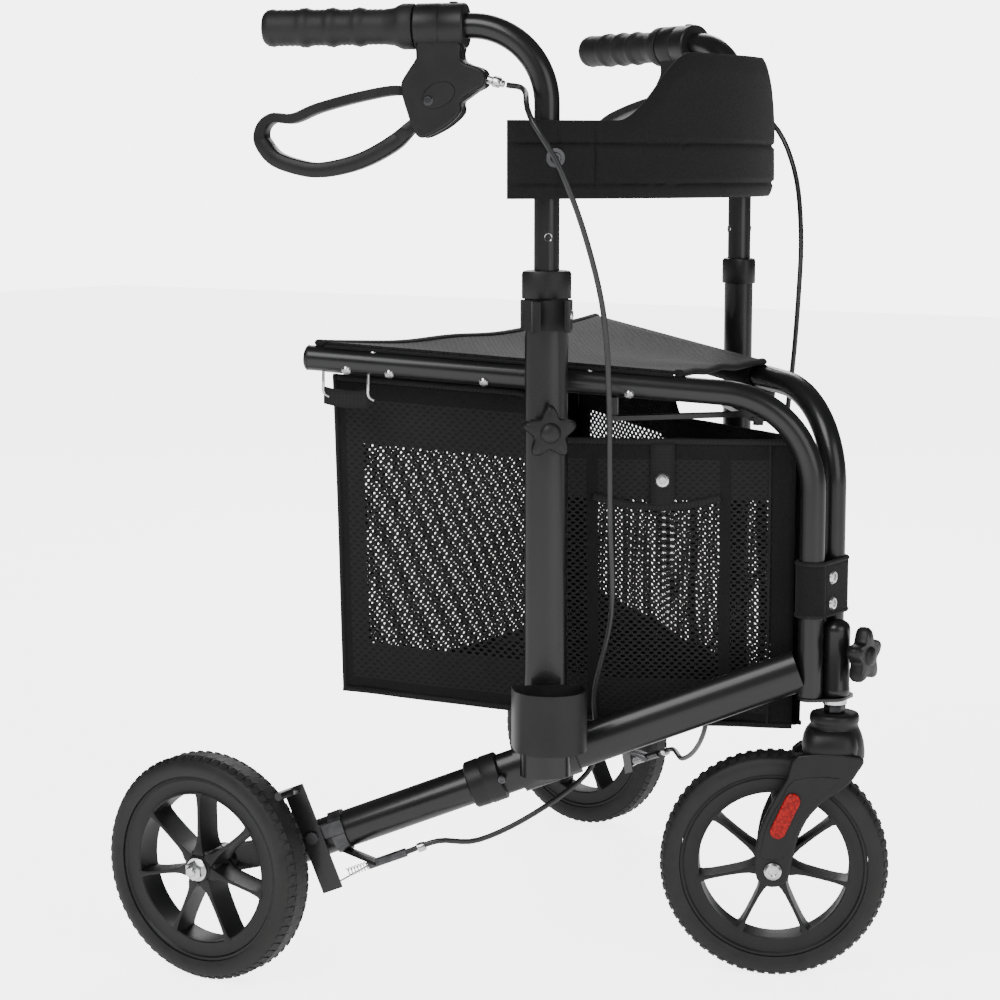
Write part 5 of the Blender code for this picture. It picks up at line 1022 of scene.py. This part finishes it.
# ------------------------------------------------------------------ soft goods
def grid_piece(name, columns, rows, place, material, body, thickness, replaces=(), uv=None, offset=0.0,
        levels=0, skip=None, material_index=None, more=()):
    """Cloth panel: place(u, v) gives its middle surface and uv(u, v) its flat coordinates in metres."""
    bm = bmesh.new()
    layer = bm.loops.layers.uv.new("UVMap")
    verts = [[bm.verts.new(place(i / columns, j / rows)) for i in range(columns + 1)] for j in range(rows + 1)]
    for j in range(rows):
        for i in range(columns):
            face = bm.faces.new((verts[j][i], verts[j][i + 1], verts[j + 1][i + 1], verts[j + 1][i]))
            for loop, (a, b) in zip(face.loops, ((i, j), (i + 1, j), (i + 1, j + 1), (i, j + 1))):
                loop[layer].uv = uv(a / columns, b / rows)
            if material_index:
                face.material_index = material_index((i + 0.5) / columns, (j + 0.5) / rows)
    mesh = bpy.data.meshes.new(name)
    bm.to_mesh(mesh)
    bm.free()
    mesh.shade_smooth()
    obj = bpy.data.objects.new(name, mesh)
    scene.collection.objects.link(obj)
    for item in (material, *more):
        mesh.materials.append(item)
    if thickness:
        solid = obj.modifiers.new("thick", "SOLIDIFY")
        solid.thickness = thickness
        solid.offset = offset
        solid.use_even_offset = True
    if levels:
        sub = obj.modifiers.new("smooth", "SUBSURF")
        sub.levels = levels
        sub.render_levels = levels
    bake(obj)
    if body:
        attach(obj, body)
    if replaces:
        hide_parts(replaces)
    return obj


def fold_flat(obj):
    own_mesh(obj)


# seat: mesh panel that wraps over the rails, with bound edges front and rear
S_REAR, S_FRONT = 0.0630, 0.3370


def seat_sag(share, v, ahead):
    dip = 0.022 * (1 - abs(share) ** 3.2) * math.sin(math.pi * (0.10 + 0.82 * v)) * rail_out(ahead) / rail_out(S_REAR)
    ripple = 0.0010 * math.sin(9 * share + 4 * v) * (1 - share * share)
    return dip + ripple


def seat_at(u, v):
    share = 2 * u - 1
    ahead = S_REAR + (S_FRONT - S_REAR) * v + 0.010 * (1 - share * share) * (0.5 - v)
    x = rail_out(ahead) * share
    return Vector((x, REAR_Y - ahead, rail_h(ahead) + RAIL_R + 0.0026 - seat_sag(share, v, ahead)))


def seat_uv(u, v):
    ahead = S_REAR + (S_FRONT - S_REAR) * v
    return (rail_out(ahead) * (2 * u - 1), ahead)


seat = grid_piece("seat_cloth", 48, 36, seat_at, MESH_HOLE_SHADE, "head", 0.0030, "seat", seat_uv)
fold_flat(seat)


def edge_tube(name, points, radius, material, body, half=0.55, across=UP):
    bm = bmesh.new()
    add_tube(bm, points, radius, 14, half, across)
    layer = bm.loops.layers.uv.new("UVMap")
    for face in bm.faces:
        for loop in face.loops:
            loop[layer].uv = (loop.vert.co.x, loop.vert.co.z)
    return piece(name, bm, material, body, (), 60)


for name, v in (("seat_hem_rear", 0.0), ("seat_hem_front", 1.0)):
    line = [seat_at(k / 40, v) for k in range(41)]
    fold_flat(edge_tube(name, line, 0.0052, WEBBING, "head", 0.6, Vector((0, 1, 0))))


def sleeve(tag, side):
    """The seat's edge sewn round the rail."""
    def place(u, v):
        ahead = S_REAR + 0.004 + (S_FRONT - S_REAR - 0.008) * u
        around = math.radians(30 - 190 * v)
        out = outward(side, RAIL_SPLAY)
        return rail(side, ahead) + (UP * math.cos(around) + out * math.sin(around)) * (RAIL_R + 0.0011)
    def uv(u, v):
        return (u * 0.31, v * 0.040)
    cuff = grid_piece("seat_sleeve_" + tag, 30, 20, place, CLOTH, "frame_" + tag, 0.0012, (), uv)


for tag, side in SIDES:
    sleeve(tag, side)

# bag: two side panels, rear panel, front gusset and floor
B_INSET, B_REAR, B_FRONT = 0.0215, 0.0600, 0.4180


def bag_half(ahead):
    return rail_out(ahead) - B_INSET / math.cos(math.radians(RAIL_SPLAY))


def bag_rim(ahead):
    high = rail_h(ahead) - 0.0165
    share = min(1.0, max(0.0, (ahead - 0.205) / 0.030))
    return high + (0.4740 - high) * share * share * (3 - 2 * share)


def bag_floor(ahead):
    share = (ahead - B_REAR) / (B_FRONT - B_REAR)
    return 0.2440 + (0.2200 - 0.2440) * min(1.0, share * 1.6)


def bag_side_at(side):
    def place(u, v):
        ahead = B_REAR + (B_FRONT - B_REAR - 0.002) * u
        top, foot = bag_rim(ahead), bag_floor(ahead)
        height = foot + (top - foot) * v
        sag = 0.0040 * math.sin(math.pi * v) * math.sin(math.pi * u)
        wrinkle = 0.0010 * math.sin(17 * u + 5 * v) * (1 - v) + 0.0008 * math.sin(31 * u - 9 * v)
        draw = 1 - 0.05 * (1 - v)
        out = Vector((side * bag_half(ahead) * draw, REAR_Y - ahead, height))
        return out - outward(side, RAIL_SPLAY) * (0.0018 + sag * 0.3 + wrinkle)
    return place


def bag_side_uv(u, v):
    return (u * 0.390, v * 0.262)


def panel_zone(u, v):
    """Open mesh inside, solid cloth along the rim, the hem, the gusset and the pocket's edge."""
    if v > 0.93 or v < 0.035 or u < 0.025 or u > 0.945 or abs(u - 0.56) < 0.014 or abs(u - 0.845) < 0.012:
        return 1
    return 2 if v > 0.80 or v < 0.15 or u < 0.065 else 0


for tag, side in SIDES:
    flank = grid_piece("bag_side_" + tag, 80, 44, bag_side_at(side), MESH_OPEN, "head", 0.0012,
            "bag" if side < 0 else (), bag_side_uv,
                       material_index=panel_zone, more=(CLOTH, MESH_HOLE_SHADE))
    fold_flat(flank)


def bag_rear_at(u, v):
    top, foot = bag_rim(B_REAR), bag_floor(B_REAR)
    share = 2 * u - 1
    half = (bag_half(B_REAR) - 0.002) * (1 - 0.05 * (1 - v))
    belly = 0.010 * (1 - share * share) * math.sin(math.pi * (0.15 + 0.75 * v))
    return Vector((half * share, REAR_Y - B_REAR - belly * 0.5 + 0.0035 * math.cos(7 * share) * (v - 0.5),
            foot + (top - foot) * v - 0.004 * (1 - share * share) * v))


rear = grid_piece("bag_rear", 40, 30, bag_rear_at, MESH_OPEN, "head", 0.0012, (), lambda u,
        v: (u * 0.385, v * 0.290),
                  material_index=lambda u, v: 1 if v > 0.88 or v < 0.05 or u < 0.04 or u > 0.96 else 0, more=(CLOTH,))
fold_flat(rear)


def bag_floor_at(u, v):
    ahead = B_REAR + 0.004 + (B_FRONT - B_REAR - 0.006) * v
    share = 2 * u - 1
    return Vector((bag_half(ahead) * 0.95 * share, REAR_Y - ahead,
            bag_floor(ahead) + 0.0012 + 0.002 * share * share))


base = grid_piece("bag_floor", 16, 24, bag_floor_at, CLOTH, "head", 0.0014, (), lambda u,
        v: (u * 0.36, v * 0.34))
fold_flat(base)


def bound_edge(name, points, radius=0.0024):
    fold_flat(edge_tube(name, points, radius, WEBBING, "head", 0.6))


for tag, side in SIDES:
    place = bag_side_at(side)
    shift = outward(side, RAIL_SPLAY) * 0.0010
    bound_edge("bag_bind_low_" + tag, [place(k / 40, 0.004) + shift for k in range(41)])
    bound_edge("bag_bind_rear_" + tag, [place(0.006, k / 24) + shift for k in range(25)])
    bound_edge("bag_bind_front_" + tag, [place(0.945, k / 24) + shift for k in range(25)], 0.0018)
    bound_edge("bag_bind_top_" + tag, [place(k / 60, 0.995) + shift for k in range(61)], 0.0028)
    # hem line of the pocket, a shallow curve
    hem = [place(0.565 + 0.275 * k / 24, 0.80 - 0.035 * math.sin(math.pi * k / 24)) + shift * 1.4 for k in range(25)]
    bound_edge("bag_pocket_hem_" + tag, hem, 0.0034)
    # closing strap with a press stud
    strap_points = [place(0.715, 0.99 - 0.22 * k / 14) + shift * 2.2 for k in range(15)]
    bm = bmesh.new()
    layer = bm.loops.layers.uv.new("UVMap")
    along = rearward(side, RAIL_SPLAY)
    rows = []
    for point in strap_points:
        rows.append([bm.verts.new(point + along * x) for x in (-0.0105, -0.0035, 0.0035, 0.0105)])
    for j, (a, b) in enumerate(zip(rows, rows[1:])):
        for i in range(3):
            face = bm.faces.new((a[i], a[i + 1], b[i + 1], b[i]))
            for loop in face.loops:
                loop[layer].uv = ((loop.vert.co - strap_points[0]).dot(along), loop.vert.co.z)
    strap = piece("bag_strap_" + tag, bm, WEBBING, None)
    solid = strap.modifiers.new("thick", "SOLIDIFY")
    solid.thickness = 0.0016
    solid.offset = 0
    bake(strap)
    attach(strap, "head")
    fold_flat(strap)
    bm = bmesh.new()
    out = outward(side, RAIL_SPLAY)
    for u, v in ((0.715, 0.86), (0.40, 0.022)):
        screw_head(bm, place(u, v) + shift * 3.2, out, 0.0068, 0.0030)
    fold_flat(piece("bag_snaps_" + tag, bm, STEEL, "head"))

def wire_hook(tag, side):
    """Bent wire that hangs the bag's rear corner from the rail, with its webbing loop."""
    bm = bmesh.new()
    out = outward(side, RAIL_SPLAY)
    for ahead in (0.0665, 0.1010):
        top = rail(side, ahead) - UP * (RAIL_R - 0.0010) + out * 0.0020
        add_tube(bm, smooth_route([top, top - UP * 0.010 + out * 0.001, top - UP * 0.0190,
                top - UP * 0.0230 - rearward(side, RAIL_SPLAY) * 0.005], 6), 0.0013, 12)
    piece("bag_hook_" + tag, bm, STEEL, "frame_" + tag)
    bm = bmesh.new()
    layer = bm.loops.layers.uv.new("UVMap")
    rows = []
    for k in range(13):
        spot = rail(side, 0.0665 + 0.0345 * k / 12) - UP * (RAIL_R + 0.0205 + 0.0022 * math.sin(math.pi * k / 12)) + out * 0.0012
        rows.append([bm.verts.new(spot + UP * x) for x in (-0.0075, -0.0025, 0.0025, 0.0075)])
    for a, b in zip(rows, rows[1:]):
        for i in range(3):
            face = bm.faces.new((a[i], a[i + 1], b[i + 1], b[i]))
            for loop in face.loops:
                loop[layer].uv = (loop.vert.co.z, loop.vert.co.y)
    loop_piece = piece("bag_loop_" + tag, bm, WEBBING, None)
    solid = loop_piece.modifiers.new("thick", "SOLIDIFY")
    solid.thickness = 0.0018
    solid.offset = 0
    bake(loop_piece)
    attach(loop_piece, "frame_" + tag)


for tag, side in SIDES:
    wire_hook(tag, side)


# front strap round both front tubes
def strap_at(u, v):
    radius = RAIL_R + 0.0020
    straight = 2 * HINGE_OUT
    half_turn = math.pi * radius
    total = 2 * straight + 2 * half_turn
    d = u * total
    height = 0.3235 + 0.0490 * v
    if d < straight:
        x, y = -HINGE_OUT + d, -radius
    elif d < straight + half_turn:
        a = (d - straight) / radius - math.pi / 2
        x, y = HINGE_OUT + radius * math.cos(a), radius * math.sin(a)
    elif d < 2 * straight + half_turn:
        x, y = HINGE_OUT - (d - straight - half_turn), radius
    else:
        a = (d - 2 * straight - half_turn) / radius + math.pi / 2
        x, y = -HINGE_OUT + radius * math.cos(a), radius * math.sin(a)
    return Vector((x, REAR_Y - HINGE_AHEAD + y, height))


strap = grid_piece("head_strap", 64, 8, strap_at, CLOTH, "head", 0.0020, "front_strap", lambda u,
        v: (u * 0.16, v * 0.049))
bm = bmesh.new()
for height in (0.3350, 0.3580):
    screw_head(bm, at(-1, 0.0080, HINGE_AHEAD + RAIL_R + 0.0028, height), front, 0.0062, 0.0028)
piece("head_strap_snaps", bm, STEEL, "head")
for k, height in enumerate((0.3252, 0.3708)):
    ring = [strap_at(j / 64, 0) for j in range(65)]
    line = [Vector((p.x * 1.012, REAR_Y - HINGE_AHEAD + (p.y - REAR_Y + HINGE_AHEAD) * 1.06,
            height)) for p in ring]
    edge_tube("head_strap_edge_%d" % k, line, 0.0016, WEBBING, "head", 0.7)

# backrest: padded band in two halves, pinched at its sewn edges and seams
BAND_R, BAND_T, TAIL = 0.2610, 0.0110, 0.038
off = HANDLE_R + BAND_T / 2 + 0.0012
low, high = 0.0, UP_AHEAD
for _ in range(40):
    guess = (low + high) / 2
    if math.hypot(UP_OUT, UP_AHEAD - guess) + off > BAND_R:
        low = guess
    else:
        high = guess
BAND_C = (low + high) / 2
BAND_ANGLE = math.atan2(UP_OUT, UP_AHEAD - BAND_C)
BAND_ARC = BAND_ANGLE * BAND_R


def band_top(along):
    share = min(1.0, max(0.0, (math.radians(31) - abs(along) / BAND_R) / math.radians(17)))
    return 0.7490 + (0.8070 - 0.7490) * share * share * (3 - 2 * share)


def band_point(along, height, depth):
    inside = max(-BAND_ARC, min(BAND_ARC, along))
    angle = inside / BAND_R
    tail = along - inside
    out = (BAND_R + depth) * math.sin(angle) + tail * math.cos(angle)
    ahead = BAND_C + (BAND_R + depth) * math.cos(angle) - abs(tail) * math.sin(abs(angle))
    return Vector((out, REAR_Y - ahead, height))


def puff(u, v, along):
    """Half thickness of the band: full in the fields, thin along the hem and the stitched rows."""
    edge = min(v, 1 - v) * (band_top(along) - 0.684)
    swell = min(1.0, edge / 0.014) ** 0.5
    for row in (0.185, 0.70):
        gap = abs((band_top(along) - 0.684) * v - row * 0.065)
        swell *= 1 - 0.55 * math.exp(-(gap / 0.0016) ** 2)
    for column in (0.154, 0.186):
        swell *= 1 - 0.45 * math.exp(-((abs(along) - column - 0.008) / 0.0016) ** 2)
    end = (BAND_ARC + TAIL - abs(along)) / 0.010
    return max(0.0009, BAND_T / 2 * swell * min(1.0, max(0.0, end)) ** 0.5)


for tag, side in SIDES:
    bm = bmesh.new()
    layer = bm.loops.layers.uv.new("UVMap")
    columns, rows = 130, 40
    total = BAND_ARC + TAIL
    shells = []
    for face_sign in (1, -1):
        grid = []
        for j in range(rows + 1):
            line = []
            for i in range(columns + 1):
                along = side * total * i / columns
                v = j / rows
                top = band_top(along)
                height = 0.684 + (top - 0.684) * v
                depth = face_sign * puff(i / columns, v, along)
                sub = 0.0003 * math.sin(61 * along + 5 * v) * math.sin(math.pi * v)
                if abs(along) > BAND_ARC:
                    base_point = band_point(along, height, 0)
                    angle = side * BAND_ANGLE
                    normal = Vector((math.sin(angle), -math.cos(angle), 0))
                    line.append(bm.verts.new(base_point + normal * depth))
                else:
                    line.append(bm.verts.new(band_point(along, height, depth + sub * face_sign)))
            grid.append(line)
        shells.append(grid)
    for grid in shells:
        for j in range(rows):
            for i in range(columns):
                quad = (grid[j][i], grid[j][i + 1], grid[j + 1][i + 1], grid[j + 1][i])
                face = bm.faces.new(quad)
                for loop, (a, b) in zip(face.loops, ((i, j), (i + 1, j), (i + 1, j + 1), (i, j + 1))):
                    loop[layer].uv = (total * a / columns, 0.12 * b / rows)
    a, b = shells
    for i in range(columns):
        bm.faces.new((a[0][i], a[0][i + 1], b[0][i + 1], b[0][i]))
        bm.faces.new((a[rows][i], a[rows][i + 1], b[rows][i + 1], b[rows][i]))
    for j in range(rows):
        for i in (0, columns):
            bm.faces.new((a[j][i], a[j + 1][i], b[j + 1][i], b[j][i]))
    half = piece("backrest_" + tag, bm, BAND, "backrest", "backrest" if side < 0 else (), 70)
    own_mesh(half)
    bm = bmesh.new()
    tube_along = side * (BAND_ARC - 0.002)
    normal = Vector((math.sin(side * BAND_ANGLE), -math.cos(side * BAND_ANGLE), 0))
    spot = band_point(tube_along, 0.7180, 0) + normal * 0.0052
    add_lathe(bm, [(0, 0.0008), (0.0078, 0.0008), (0.0082, 0.0004), (0.0082, -0.0006), (0, -0.0006)],
            matrix_of(spot, normal), 32)
    screw_head(bm, spot + normal * 0.0008, normal, 0.0046, 0.0024)
    screws = piece("backrest_screw_" + tag, bm, DARK_STEEL, "backrest")
    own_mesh(screws)


# ------------------------------------------------------------------ cane holder
shade_cad("cane_clip", PLASTIC)
shade_cad("cane_cup", PLASTIC)
bm = bmesh.new()
turn = (outward(-1, UP_SPLAY) * 0.35 - rearward(-1, UP_SPLAY) * 0.94).normalized()
spot = upright(-1, 0.5868) + turn * 0.0200
screw_head(bm, spot, turn, 0.0046, 0.0030)
piece("clip_screw", bm, STEEL, "frame_right")
